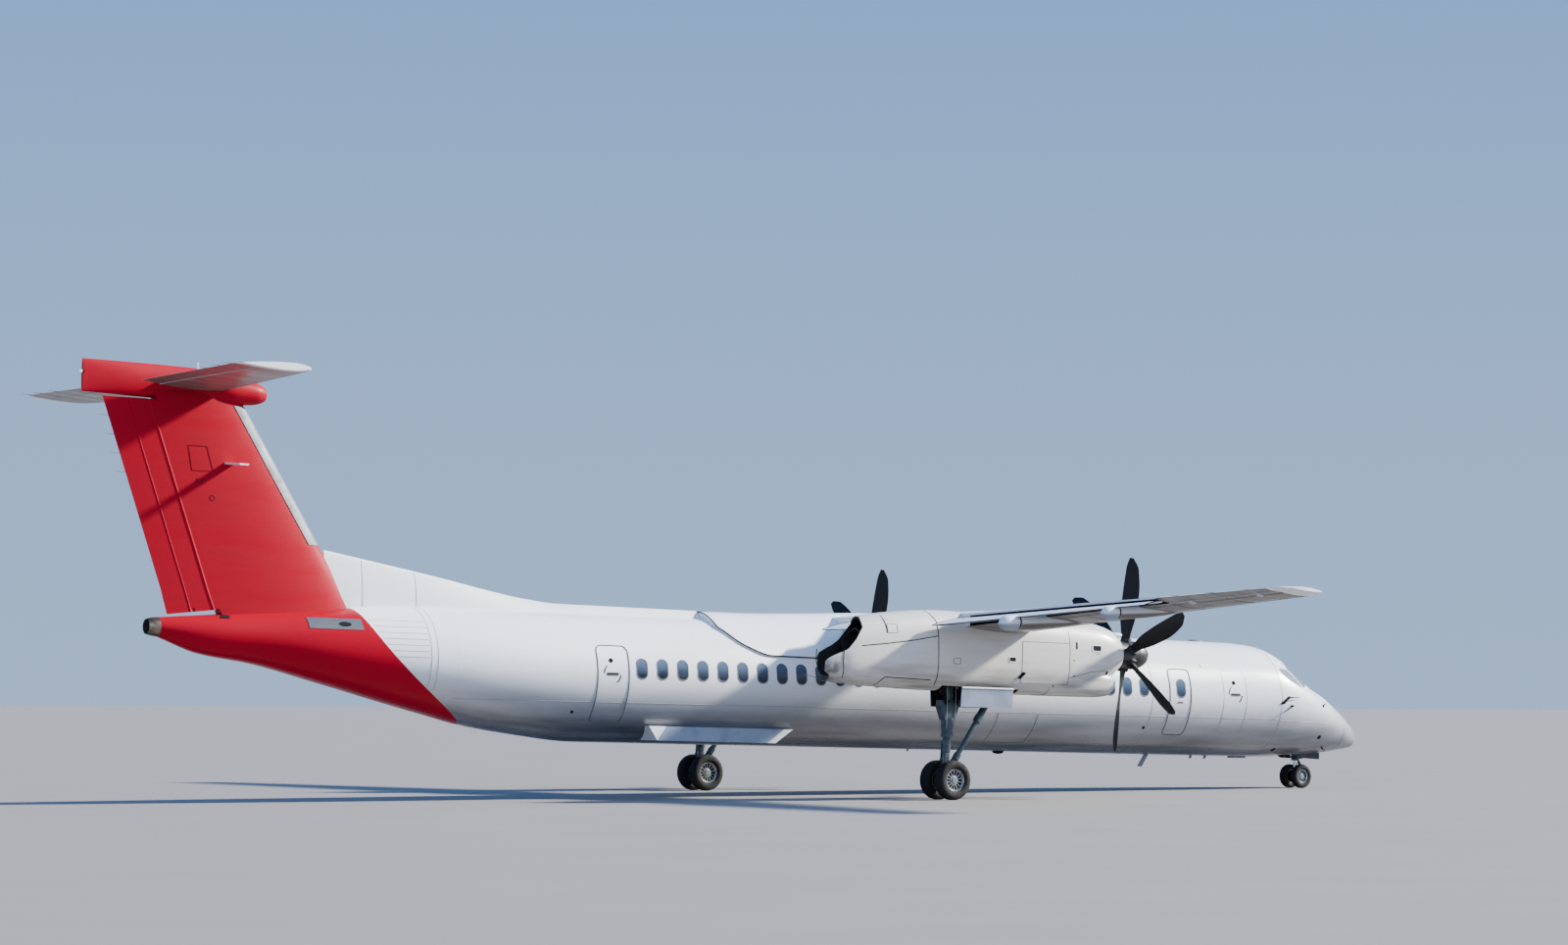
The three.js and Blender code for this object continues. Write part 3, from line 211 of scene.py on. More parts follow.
class Form:
    """Vertices and faces of one piece, gathered from simple shapes. Each face keeps its finish's number."""

    def __init__(self):
        self.verts, self.faces, self.finish = [], [], []

    def take(self, verts, faces, finish=0):
        start = len(self.verts)
        self.verts += [tuple(v) for v in verts]
        self.faces += [tuple(start + i for i in face) for face in faces]
        self.finish += [finish] * len(faces)
        return self

    def loft(self, rings, finish=0, ends=True):
        count = len(rings[0])
        faces = []
        for r in range(len(rings) - 1):
            for i in range(count):
                a, b = r * count + i, r * count + (i + 1) % count
                faces.append((a, b, b + count, a + count))
        if ends:
            faces += [tuple(range(count)), tuple(range((len(rings) - 1) * count, len(rings) * count))]
        return self.take([p for ring in rings for p in ring], faces, finish)

    def bar(self, a, b, r0, r1=None, sides=16, finish=0):
        """A round bar from a to b."""
        a, b = Vector(a), Vector(b)
        turn = (b - a).to_track_quat("Z", "X").to_matrix()
        rings = [[at + turn @ Vector((r * math.cos(TAU * i / sides), r * math.sin(TAU * i / sides), 0))
                  for i in range(sides)] for at, r in ((a, r0), (b, r0 if r1 is None else r1))]
        return self.loft(rings, finish)

    def box(self, low, high, finish=0):
        (x0, y0, z0), (x1, y1, z1) = low, high
        return self.loft([[(x0, y0, z), (x1, y0, z), (x1, y1, z), (x0, y1, z)] for z in (z0, z1)], finish)

    def prism(self, outline, y0, y1, finish=0):
        """An outline of x, z pairs, reaching from y0 to y1."""
        return self.loft([[(x, y, z) for x, z in outline] for y in (y0, y1)], finish)

    def spin(self, profile, centre, axis="y", sides=48, finish=0):
        """A turned shape: profile rows are the distance along the axis and the radius."""
        rings = []
        for along, radius in profile:
            ring = []
            for i in range(sides):
                a, c, s = along, radius * math.cos(TAU * i / sides), radius * math.sin(TAU * i / sides)
                offset = {"x": (a, c, s), "y": (c, a, s), "z": (c, s, a)}[axis]
                ring.append(tuple(p + q for p, q in zip(centre, offset)))
            rings.append(ring)
        closed = profile[0] == profile[-1]
        return self.loft(rings, finish, ends=not closed)

    def sheet(self, place, us, vs, low, high, finish=0):
        """A thick curved sheet over a surface: place(u, v, lift) gives its points."""
        cols, rows = len(us), len(vs)
        verts = [place(u, v, lift) for lift in (low, high) for v in vs for u in us]
        half = cols * rows
        faces = []
        for j in range(rows - 1):
            for i in range(cols - 1):
                a = j * cols + i
                faces += [(a, a + 1, a + 1 + cols, a + cols),
                          (half + a, half + a + cols, half + a + 1 + cols, half + a + 1)]
        rim = (list(range(cols)) + [j * cols + cols - 1 for j in range(1, rows)]
               + [(rows - 1) * cols + i for i in range(cols - 2, -1, -1)]
               + [j * cols for j in range(rows - 2, 0, -1)])
        for a, b in zip(rim, rim[1:] + rim[:1]):
            faces.append((a, b, b + half, a + half))
        return self.take(verts, faces, finish)

    def patch(self, place, outline, low, high, rings=4):
        """A closed plate of any outline that follows a surface."""
        mu = sum(u for u, v in outline) / len(outline)
        mv = sum(v for u, v in outline) / len(outline)
        loops = []
        for i in range(rings):
            share = 1 - i / rings
            loops.append([place(mu + (u - mu) * share, mv + (v - mv) * share, high) for u, v in outline])
        loops.insert(0, [place(u, v, low) for u, v in outline])
        start = len(self.verts)
        self.loft(loops, ends=False)
        count = len(outline)
        last = start + rings * count
        top, bottom = len(self.verts), len(self.verts) + 1
        self.verts += [tuple(place(mu, mv, high)), tuple(place(mu, mv, low))]
        for i in range(count):
            j = (i + 1) % count
            self.faces += [(last + i, last + j, top), (start + j, start + i, bottom)]
            self.finish += [0, 0]
        return self

    def hoop(self, place, outline, share, low, high, finish=0):
        """A flat frame between an outline and the same outline made smaller."""
        mu = sum(u for u, v in outline) / len(outline)
        mv = sum(v for u, v in outline) / len(outline)
        inner = [(mu + (u - mu) * share, mv + (v - mv) * share) for u, v in outline]
        loops = [[place(u, v, lift) for u, v in line]
                 for line, lift in ((outline, low), (outline, high), (inner, high), (inner, low))]
        return self.loft(loops + [loops[0]], finish, ends=False)

    def build(self, name, finishes, body="airframe", stands_for=None, slot=None, level=True, flip=False,
              sharp=32):
        """Makes the piece, tipped with the airframe if level, and mirrored to the other side if flip."""
        mesh = bpy.data.meshes.new(name)
        verts = [(x, -y, z) for x, y, z in self.verts] if flip else self.verts
        mesh.from_pydata(verts, [], self.faces)
        for key in finishes.split():
            mesh.materials.append(FINISH[key])
        mesh.polygons.foreach_set("material_index", self.finish)
        if level:
            mesh.transform(TIP)
        shell = bmesh.new()
        shell.from_mesh(mesh)
        bmesh.ops.remove_doubles(shell, verts=shell.verts, dist=1e-5)
        bmesh.ops.recalc_face_normals(shell, faces=shell.faces)
        shell.to_mesh(mesh)
        shell.free()
        return placed(name, mesh, body, stands_for, sharp)


def placed(name, mesh, body, stands_for=None, sharp=32):
    """Hangs a mesh on its body. A piece named NODE_skin stands for that node, unless it names another."""
    mesh.name = name
    shade(mesh, sharp)
    thing = new_object(name, mesh)
    if body:
        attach(thing, body)
        if not stands_for and name.endswith("_skin"):
            stands_for = name.removesuffix("_skin")
        if stands_for:
            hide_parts(stands_for)
    return thing


# Geometry Nodes: a bead along a path, and copies of a template on points

def node(tree, kind, settings=None, **inputs):
    """Adds a node, sets its properties, and sets or links its inputs; _0 is the first input."""
    made = tree.nodes.new(kind)
    for key, value in (settings or {}).items():
        setattr(made, key, value)
    for key, value in inputs.items():
        socket = made.inputs[int(key[1:]) if key[0] == "_" else key.replace("_", " ")]
        if isinstance(value, bpy.types.NodeSocket):
            tree.links.new(value, socket)
        else:
            socket.default_value = value
    return made


def new_tree(name, sockets):
    tree = bpy.data.node_groups.new(name, "GeometryNodeTree")
    for label, kind in sockets:
        tree.interface.new_socket(label, in_out="INPUT", socket_type=kind)
    tree.interface.new_socket("Result", in_out="OUTPUT", socket_type="NodeSocketGeometry")
    return tree, tree.nodes.new("NodeGroupInput").outputs


def close_tree(tree, geometry, finish):
    real = node(tree, "GeometryNodeRealizeInstances", Geometry=geometry)
    painted = node(tree, "GeometryNodeSetMaterial", Geometry=real.outputs[0], Material=finish)
    node(tree, "NodeGroupOutput", Result=painted.outputs[0])
    return tree


def bead_tree():
    """A round bead along every path of a curve."""
    tree, given = new_tree("bead_along_path", [
        ("Path", "NodeSocketGeometry"), ("Radius", "NodeSocketFloat"), ("Sides", "NodeSocketInt"),
        ("Finish", "NodeSocketMaterial")])
    circle = node(tree, "GeometryNodeCurvePrimitiveCircle", Radius=given["Radius"],
                  Resolution=given["Sides"])
    swept = node(tree, "GeometryNodeCurveToMesh", Curve=given["Path"], Profile_Curve=circle.outputs[0],
                 Fill_Caps=True)
    return close_tree(tree, swept.outputs[0], given["Finish"])


def copies_tree():
    """A copy of a template on every point, turned by the point's turn attribute."""
    tree, given = new_tree("copies_on_points", [
        ("Points", "NodeSocketGeometry"), ("Template", "NodeSocketObject"), ("Size", "NodeSocketFloat"),
        ("Finish", "NodeSocketMaterial")])
    shape = node(tree, "GeometryNodeObjectInfo", Object=given["Template"])
    turn = node(tree, "GeometryNodeInputNamedAttribute", {"data_type": "FLOAT_VECTOR"}, Name="turn")
    placed_copies = node(tree, "GeometryNodeInstanceOnPoints", Points=given["Points"],
                         Instance=shape.outputs["Geometry"], Rotation=turn.outputs["Attribute"],
                         Scale=given["Size"])
    return close_tree(tree, placed_copies.outputs[0], given["Finish"])


TREES = {}


def grown(thing, tree_maker, level, inputs):
    """Runs a node tree on an object and returns the plain mesh that it makes, tipped if level."""
    if tree_maker not in TREES:
        TREES[tree_maker] = tree_maker()
    tree = TREES[tree_maker]
    mod = thing.modifiers.new("grow", "NODES")
    mod.node_group = tree
    for item in tree.interface.items_tree:
        if item.in_out == "INPUT" and item.name in inputs:
            mod[item.identifier] = inputs[item.name]
    mesh = settled(thing)
    bpy.data.objects.remove(thing)
    if level:
        mesh.transform(TIP)
    return mesh


def beads(name, paths, radius, finish, body="airframe", level=True, sides=6):
    """A piece of round beads along paths, each a list of points and whether it closes."""
    curve = bpy.data.curves.new(name, "CURVE")
    curve.dimensions = "3D"
    for points, closed in paths:
        line = curve.splines.new("POLY")
        line.points.add(len(points) - 1)
        line.points.foreach_set("co", [c for p in points for c in (*p, 1.0)])
        line.use_cyclic_u = closed
    mesh = grown(new_object(name + "_path", curve), bead_tree, level,
                 {"Radius": radius, "Sides": sides, "Finish": FINISH[finish]})
    return placed(name, mesh, body, None)


def copies(name, template, points, finish, body="airframe", level=True, stands_for=None):
    """A piece of copies of a template form: points are rows of a place and a turn in radians."""
    model = template.build(name + "_template", finish, body=None, level=False)
    spots = bpy.data.meshes.new(name + "_points")
    spots.from_pydata([place for place, turn in points], [], [])
    turns = spots.attributes.new("turn", "FLOAT_VECTOR", "POINT")
    turns.data.foreach_set("vector", [c for place, turn in points for c in turn])
    mesh = grown(new_object(name + "_points", spots), copies_tree, level,
                 {"Template": model, "Size": 1.0, "Finish": FINISH[finish]})
    bpy.data.objects.remove(model)
    return placed(name, mesh, body, stands_for)


# Finishes

def material(name, colour, roughness, metallic=0.0, **sockets):
    """A named finish, with fixed values on the shader's own sockets."""
    made = bpy.data.materials.new(name)
    made.use_nodes = True
    tree = made.node_tree
    surface = tree.nodes["Principled BSDF"]
    surface.inputs["Base Color"].default_value = linear(colour)
    surface.inputs["Roughness"].default_value = roughness
    surface.inputs["Metallic"].default_value = metallic
    for key, value in sockets.items():
        surface.inputs[key.replace("_", " ")].default_value = value
    return made, tree, surface


def airframe_coords(tree):
    """Object coordinates turned back to the level airframe, in metres."""
    where = node(tree, "ShaderNodeTexCoord")
    return node(tree, "ShaderNodeMapping", Vector=where.outputs["Object"], Rotation=(0, -PITCH, 0)).outputs[0]


def cloud(tree, where, size, detail=4.0, stretch=(1, 1, 1)):
    """Soft noise whose lumps are about size metres across, drawn out along an axis by stretch."""
    scaled = node(tree, "ShaderNodeMapping", Vector=where, Scale=tuple(1 / s for s in stretch)).outputs[0]
    return node(tree, "ShaderNodeTexNoise", Vector=scaled, Scale=1 / size, Detail=detail).outputs["Fac"]


def band(tree, value, start, end, low=0.0, high=1.0):
    """Rises smoothly from low to high as the value goes from start to end."""
    return node(tree, "ShaderNodeMapRange", {"interpolation_type": "SMOOTHSTEP"}, Value=value, From_Min=start,
                From_Max=end, To_Min=low, To_Max=high).outputs[0]


def sums(tree, kind, a, b):
    return node(tree, "ShaderNodeMath", {"operation": kind}, _0=a, _1=b).outputs[0]


def mixed(tree, share, a, b):
    """One colour over another; a and b are hex codes or sockets."""
    a, b = (linear(c) if isinstance(c, str) else c for c in (a, b))
    made = node(tree, "ShaderNodeMix", {"data_type": "RGBA"}, _0=share, _6=a, _7=b)
    return made.outputs[2]


def relief(tree, surface, height, strength, distance):
    bump = node(tree, "ShaderNodeBump", Height=height, Strength=strength, Distance=distance)
    tree.links.new(bump.outputs[0], surface.inputs["Normal"])


def colour_of(tree, surface, socket):
    tree.links.new(socket, surface.inputs["Base Color"])


def roughness_of(tree, surface, factor, low, high):
    tree.links.new(band(tree, factor, 0.3, 0.7, low, high), surface.inputs["Roughness"])


def hull_paint(look):
    """Polyurethane enamel, sprayed: glossy white, red aft of a curved edge, and darker blue-grey low down,
    which is painted shade mixed with streaky road grime.
    """
    made, tree, surface = material("polyurethane_enamel_white", "#EEF0F2", 0.3, Coat_Weight=0.4,
                                   Coat_Roughness=0.1)
    where = airframe_coords(tree)
    x, y, z = node(tree, "ShaderNodeSeparateXYZ", Vector=where).outputs
    streaks = cloud(tree, where, 0.4, stretch=(7, 1, 1))
    blotches = cloud(tree, where, 1.6)
    # Towards the bottom the white turns dark blue-grey: painted shade, with streaks of road grime
    low = band(tree, z, FILM_AND_SHADE_TOP, FILM_AND_SHADE_FULL)
    film_and_shade = sums(tree, "MULTIPLY", low, sums(tree, "ADD", sums(tree, "MULTIPLY", streaks, 0.5), 0.65))
    white = mixed(tree, sums(tree, "MULTIPLY", blotches, 0.2), hex_code(look.white), "#DADDE0")
    dirt_and_painted_shade = mixed(tree, film_and_shade, white, "#3B4049")
    red = mixed(tree, sums(tree, "MULTIPLY", streaks, 0.2), hex_code(look.red), "#7C000E")
    a, b, c = RED_EDGE
    slope = sums(tree, "ADD", sums(tree, "MULTIPLY", z, a), b)
    edge = sums(tree, "ADD", sums(tree, "MULTIPLY", z, slope), c)
    aft = band(tree, sums(tree, "SUBTRACT", edge, x), -0.004, 0.004)
    colour_of(tree, surface, mixed(tree, aft, dirt_and_painted_shade, red))
    tree.links.new(band(tree, aft, 0, 1, 0.4, 0.02), surface.inputs["Coat Weight"])
    tree.links.new(band(tree, aft, 0, 1, 0.5, 0.1), surface.inputs["Specular IOR Level"])
    roughness_of(tree, surface, streaks, 0.22, 0.38)
    relief(tree, surface, blotches, 0.1, 0.01)
    return made


def plain_paint(name, colour, stain, shade_amount=0.35, roughness=0.32, coat=0.3, mirror=0.5):
    """Sprayed enamel with faint streaks along the airflow."""
    made, tree, surface = material(name, colour, roughness, Coat_Weight=coat, Coat_Roughness=0.15,
                                   Specular_IOR_Level=mirror)
    where = airframe_coords(tree)
    streaks = cloud(tree, where, 0.25, stretch=(7, 1, 1))
    share = sums(tree, "MULTIPLY", band(tree, streaks, 0.45, 0.75), shade_amount)
    colour_of(tree, surface, mixed(tree, share, colour, stain))
    roughness_of(tree, surface, streaks, roughness - 0.06, roughness + 0.12)
    relief(tree, surface, cloud(tree, where, 0.9), 0.08, 0.01)
    return made


def wing_paint(name, top, below, stain):
    """Enamel that is clean above; what faces down is painted a darker brown-grey as shade, with streaks of
    oil and dust.
    """
    made, tree, surface = material(name, top, 0.34, Coat_Weight=0.25, Coat_Roughness=0.18)
    where = airframe_coords(tree)
    facing = node(tree, "ShaderNodeNewGeometry").outputs["Normal"]
    up = node(tree, "ShaderNodeSeparateXYZ", Vector=facing).outputs["Z"]
    # Faces that point down take the darker colour: painted shade, with streaks of dirt
    under = band(tree, up, 0.1, -0.35)
    streaks = cloud(tree, where, 0.2, stretch=(6, 1, 1))
    grime_and_shade = mixed(tree, streaks, below, stain)
    clean = mixed(tree, sums(tree, "MULTIPLY", streaks, 0.3), top, "#C9CDD2")
    colour_of(tree, surface, mixed(tree, under, clean, grime_and_shade))
    roughness_of(tree, surface, streaks, 0.3, 0.5)
    relief(tree, surface, streaks, 0.05, 0.005)
    return made


def nacelle_paint():
    """Off-white enamel, yellowed by heat, with soot towards the jet pipe and oil streaks behind joints;
    darker towards the bottom, where dirt and painted shade are mixed.
    """
    made, tree, surface = material("enamel_heat_aged", "#DEDAD3", 0.36, Coat_Weight=0.25, Coat_Roughness=0.2)
    where = airframe_coords(tree)
    x, y, z = node(tree, "ShaderNodeSeparateXYZ", Vector=where).outputs
    streaks = cloud(tree, where, 0.16, stretch=(8, 1, 1))
    smoke = cloud(tree, where, 0.35, detail=6)
    patches = sums(tree, "MULTIPLY", band(tree, smoke, 0.38, 0.66), band(tree, z, 3.25, 2.85))
    aft = sums(tree, "MULTIPLY", band(tree, x, -1.85, -2.7), patches)
    # Darker towards the bottom: dirt, and painted shade under the chin
    low = sums(tree, "MULTIPLY", band(tree, z, 3.0, 2.2), band(tree, streaks, 0.35, 0.75, 0.25, 0.8))
    stained = sums(tree, "MULTIPLY", band(tree, streaks, 0.45, 0.75), 0.35)
    body = mixed(tree, low, mixed(tree, stained, "#CFCCC7", "#9C968B"), "#716A61")
    colour_of(tree, surface, mixed(tree, aft, body, "#3B3733"))
    roughness_of(tree, surface, streaks, 0.3, 0.5)
    relief(tree, surface, smoke, 0.06, 0.006)
    return made


def worn(name, colour, stain, roughness, metallic=0.0, size=0.08, bump=0.1, **sockets):
    """A finish with blotches of a second colour, and a fine uneven surface."""
    made, tree, surface = material(name, colour, roughness, metallic, **sockets)
    where = node(tree, "ShaderNodeTexCoord").outputs["Object"]
    lumps = cloud(tree, where, size, detail=5)
    colour_of(tree, surface, mixed(tree, band(tree, lumps, 0.4, 0.7), colour, stain))
    roughness_of(tree, surface, lumps, max(roughness - 0.08, 0.03), min(roughness + 0.12, 1))
    relief(tree, surface, cloud(tree, where, size / 6), bump, size / 40)
    return made


def glass(name, colour, roughness, sky):
    """Laminated acrylic over a dark cabin: a dark body with a strong clear coat, and a painted sky reflection
    that lightens its upper part.
    """
    made, tree, surface = material(name, colour, roughness, Coat_Weight=1.0, Coat_Roughness=0.03)
    z = node(tree, "ShaderNodeSeparateXYZ", Vector=airframe_coords(tree)).outputs["Z"]
    # The upper part is painted lighter in the sky's colour: a painted reflection
    colour_of(tree, surface, mixed(tree, band(tree, z, 2.35, 2.72), colour, sky))
    return made


def lens(name, colour, glow):
    """A clear or tinted lamp glass with a faint glow of its own."""
    made, _, surface = material(name, colour, 0.1, Emission_Strength=glow, Coat_Weight=1.0)
    surface.inputs["Emission Color"].default_value = linear(colour)
    return made


def make_finishes(look):
    """Makes every finish."""
    FINISH.update(
        hull=hull_paint(look),
        red=plain_paint("polyurethane_enamel_red", hex_code(look.red), "#7C000E", 0.2, 0.45, 0.02, 0.1),
        red_line=plain_paint("polyurethane_enamel_red_shaded", "#3C0008", "#280005", 0.3, 0.5, 0.0, 0.2),
        white=plain_paint("polyurethane_enamel_plain_white", "#ECEDEF", "#D2D3D4"),
        nacelle=nacelle_paint(),
        wing=wing_paint("polyurethane_enamel_wing", "#E4E8EE", "#5F5852", "#413B37"),
        # The flap's blue-white top is a painted sky reflection and its blue-grey underside painted shade
        flap=wing_paint("polyurethane_enamel_flap", "#DDE3EC", "#8F99A8", "#737D8C"),
        tailplane=wing_paint("polyurethane_enamel_tailplane", "#D9DCE0", "#77706D", "#5A5453"),
        grey=worn("epoxy_primer_grey", "#747A82", "#5F656C", 0.5, size=0.3),
        # Blue-grey stands for white enamel in sky-lit shade: painted shade on the strakes' and main doors'
        # faces
        door=worn("white_enamel_painted_sky_shade", "#8794A8", "#748194", 0.4, size=0.4),
        plate=worn("painted_steel_plate", "#4B525B", "#41474F", 0.5, size=0.3),
        boot=worn("neoprene_boot_silvered", "#8A8E93", "#74787C", 0.5, size=0.2),
        seam=worn("polysulphide_sealant", "#5B5E61", "#45474A", 0.7, size=0.05),
        # Near-black: the dark of real joints, and also painted shade in the wing's slots, round the flaps and
        # on the main doors' inner faces
        gap=worn("shadowed_joint", "#0D0E10", "#17181A", 0.85, size=0.05, Specular_IOR_Level=0.15),
        gear=worn("epoxy_enamel_gear", "#34464E", "#223037", 0.42, size=0.12),
        chrome=worn("hard_chrome_piston", "#D9DCDD", "#B9BCBE", 0.12, 1.0, size=0.05, bump=0.02),
        piston=worn("oiled_chrome_piston", "#5F6870", "#474E55", 0.22, 0.8, size=0.05, bump=0.02),
        alloy=worn("forged_aluminium_wheel", "#A2A4A6", "#626261", 0.36, 0.85, size=0.05),
        steel=worn("stainless_steel_heat_tinted", "#8A7C6C", "#4B4038", 0.38, 1.0, size=0.15),
        soot=worn("soot_coated_steel", "#1B1917", "#332E2A", 0.85, 0.2, size=0.1),
        blade=worn("carbon_epoxy_blade_black", "#08090C", "#101216", 0.5, size=0.2, Specular_IOR_Level=0.25),
        spinner=worn("spinner_enamel_graphite", "#141517", "#0E0F10", 0.42, size=0.15, Coat_Weight=0.15),
        tyre=worn("vulcanised_tyre_rubber", "#101011", "#1C1B1B", 0.8, size=0.06, bump=0.2,
                  Specular_IOR_Level=0.3),
        rubber=worn("black_rubber_seal", "#17181A", "#222325", 0.7, size=0.05),
        pane=glass("acrylic_cabin_pane", "#222A36", 0.1, "#55657B"),
        screen=glass("laminated_screen_glass", "#2C323B", 0.08, "#868D96"),
        # Dark primer for the bays and nose doors, made darker as painted shade
        primer=worn("dark_primer_and_painted_shade", "#2E3338", "#1F2326", 0.6, size=0.2),
        hose=worn("braided_hydraulic_hose", "#5A2A30", "#3A1C20", 0.5, size=0.02),
        red_lens=lens("polycarbonate_lens_red", "#D01515", 0.6),
        green_lens=lens("polycarbonate_lens_green", "#10A040", 0.6),
        clear_lens=lens("polycarbonate_lens_clear", "#F2F4F5", 0.8),
    )


# Fuselage: rings of two half ellipses that meet at the waist. Rows of x, top, bottom, half width, waist
HULL = [
    (16.385, 1.515, 1.485, 0.015, 1.500),
    (16.340, 1.622, 1.376, 0.135, 1.502),
    (16.200, 1.772, 1.288, 0.310, 1.510),
    (15.900, 1.995, 1.240, 0.505, 1.570),
    (15.420, 2.290, 1.180, 0.745, 1.700),
    (14.850, 2.592, 1.110, 0.965, 1.900),
    (14.400, 2.765, 1.080, 1.095, 2.060),
    (13.800, 3.155, 1.045, 1.220, 2.230),
    (13.400, 3.440, 1.030, 1.280, 2.300),
    (12.900, 3.600, 1.024, 1.310, 2.334),
    (12.000, 3.644, 1.024, 1.310, 2.334),
    (-5.600, 3.644, 1.024, 1.310, 2.334),
    (-6.900, 3.644, 1.135, 1.275, 2.370),
    (-8.150, 3.640, 1.300, 1.180, 2.440),
    (-8.900, 3.632, 1.465, 1.090, 2.500),
    (-9.900, 3.600, 1.690, 0.965, 2.590),
    (-11.500, 3.480, 2.070, 0.750, 2.730),
    (-12.900, 3.370, 2.380, 0.520, 2.870),
    (-14.000, 3.275, 2.535, 0.370, 2.930),
    (-14.880, 3.205, 2.830, 0.190, 3.020),
]
# The distance from the nose enters as a square root, so that the nose comes out round.
HULL_ROOTS = [(math.sqrt(NOSE_TIP - row[0]), *row[1:]) for row in HULL]


def hull_row(x):
    return eased(HULL_ROOTS, math.sqrt(max(NOSE_TIP - x, 0)))


def hull(x, angle, lift=0.0):
    """A point of the fuselage skin: angle 0 is the left side, a quarter turn is the top."""
    _, top, bottom, half, waist = hull_row(x)
    high = (top - waist if math.sin(angle) > 0 else waist - bottom) + lift
    return (x, (half + lift) * math.cos(angle), waist + high * math.sin(angle))


def hull_side(side, x, z, lift=0.0):
    """The point of the skin at a height, on one side."""
    _, top, bottom, _, waist = hull_row(x)
    share = (z - waist) / (top - waist if z > waist else waist - bottom)
    angle = math.asin(clamp(share, -1, 1))
    return hull(x, angle if side > 0 else math.pi - angle, lift)


def on_side(side):
    return lambda x, z, lift: hull_side(side, x, z, lift)


def hull_rings(front, rear, count):
    """Rings that crowd towards the nose as the skin curves more."""
    u0, u1 = math.sqrt(NOSE_TIP - front), math.sqrt(NOSE_TIP - rear)
    xs = [NOSE_TIP - u * u for u in steps(u0, u1, count)]
    return [[hull(x, TAU * i / HULL_RING) for i in range(HULL_RING)] for x in xs]


# Doorway of the airstair, how far in the entry reaches, the door's wall and the seam round it
DOOR = {"x0": 11.06, "x1": 11.82, "z0": 1.43, "z1": 3.08, "entry": 0.42, "wall": 0.06, "seam": 0.006}
# Bay of the nose gear: rear x, front x, half width, roof
NOSE_BAY = (13.75, 15.30, 0.30, 1.75)
RADOME_TIP_X = 16.397
# Outlet of the auxiliary power unit: height of its axis, rows of distance behind the cone and half sizes
OUTLET_Z = 3.018
OUTLET = [
    (0.0005, 0.000, 0.000),
    (0.0005, 0.190, 0.187),
    (0.110, 0.182, 0.178),
    (0.190, 0.165, 0.160),
    (0.225, 0.150, 0.145),
    (0.222, 0.136, 0.131),
    (0.120, 0.115, 0.110),
    (0.050, 0.000, 0.000),
]


def block(name, low, high, finish):
    return Form().box(low, high).build(name, finish, body=None)


def build_fuselage():
    """Skins of the cabin, tail cone, flight deck and radome, and the outlet at the tail's end."""
    doorway = block("doorway", (DOOR["x0"], DOOR["entry"], DOOR["z0"]), (DOOR["x1"], 1.5, DOOR["z1"]), "grey")
    skin = Form().loft(hull_rings(NOSE_X - 0.001, TAIL_X, 110)).build("fuselage_skin", "hull")
    carve(skin, doorway)
    Form().loft(hull_rings(TAIL_X - 0.002, CAP_X, 40)).build("tail_cone_skin", "hull", slot="red_paint")
    rear, front, half, roof = NOSE_BAY
    # The bay's walls take the dark primer: painted shade inside the bay
    bay = block("nose_bay", (rear, -half, 0.9), (front, half, roof), "primer")
    nose = Form().loft(hull_rings(RADOME_X - 0.002, NOSE_X + 0.001, 40)).build("flight_deck_skin", "hull")
    carve(nose, bay)
    Form().loft(hull_rings(RADOME_TIP_X, RADOME_X, 36)).build("radome_skin", "hull")
    rings = [[(CAP_X - back, half * math.cos(TAU * i / 40), OUTLET_Z + high * math.sin(TAU * i / 40))
              for i in range(40)] for back, half, high in OUTLET]
    pipe = Form().loft(rings[:5], 0, ends=False).loft(rings[4:], 1, ends=False)
    pipe.build("tail_outlet", "steel soot", stands_for="tail_end_cap")


# Cabin windows: height of the middle, place of the last, number, and the ones ahead of the propellers
WINDOW_Z = 2.52
LAST_WINDOW_X = -4.74
WINDOWS = 28
WINDOWS_AHEAD = {LEFT: [9.2, 9.7], RIGHT: [9.80]}


def build_windows(sizes):
    """Cabin panes and their frames, copied along both sides."""
    half_w, half_h = sizes.window_width / 2, sizes.window_height / 2
    outline = rounded(-half_w, half_w, WINDOW_Z - half_h, WINDOW_Z + half_h, sizes.window_width * 0.46)
    glazed = [(x * 0.9, WINDOW_Z + (z - WINDOW_Z) * 0.92) for x, z in outline]
    stations = [LAST_WINDOW_X + sizes.window_pitch * k for k in range(WINDOWS)]
    for side_name, side in SIDES:
        spots = [((x, 0, 0), (0, 0, 0)) for x in stations + WINDOWS_AHEAD[side]]
        frame_form = Form().hoop(on_side(side), outline, 0.86, -0.004, 0.006)
        copies(f"window_frames_{side_name}", frame_form, spots, "seam")
        pane = Form().patch(on_side(side), glazed, -0.006, 0.002)
        copies(f"window_panes_{side_name}", pane, spots, "pane")


# Cockpit panes of one side: corners as x and the share of a quarter turn down from the top
SCREENS = {
    "front": [(13.50, 0.03), (14.34, 0.03), (14.20, 0.40), (13.52, 0.36)],
    "quarter": [(13.42, 0.39), (14.16, 0.43), (13.78, 0.73), (13.34, 0.56)],
    "side": [(13.01, 0.60), (13.06, 0.667), (13.22, 0.728), (13.40, 0.754), (13.68, 0.755), (13.29, 0.58)],
}


def screen_point(side):
    """Place for cockpit panes: x and the share of a quarter turn down from the top."""
    return lambda x, share, lift: hull(x, math.pi / 2 - side * share * math.pi / 2, lift)


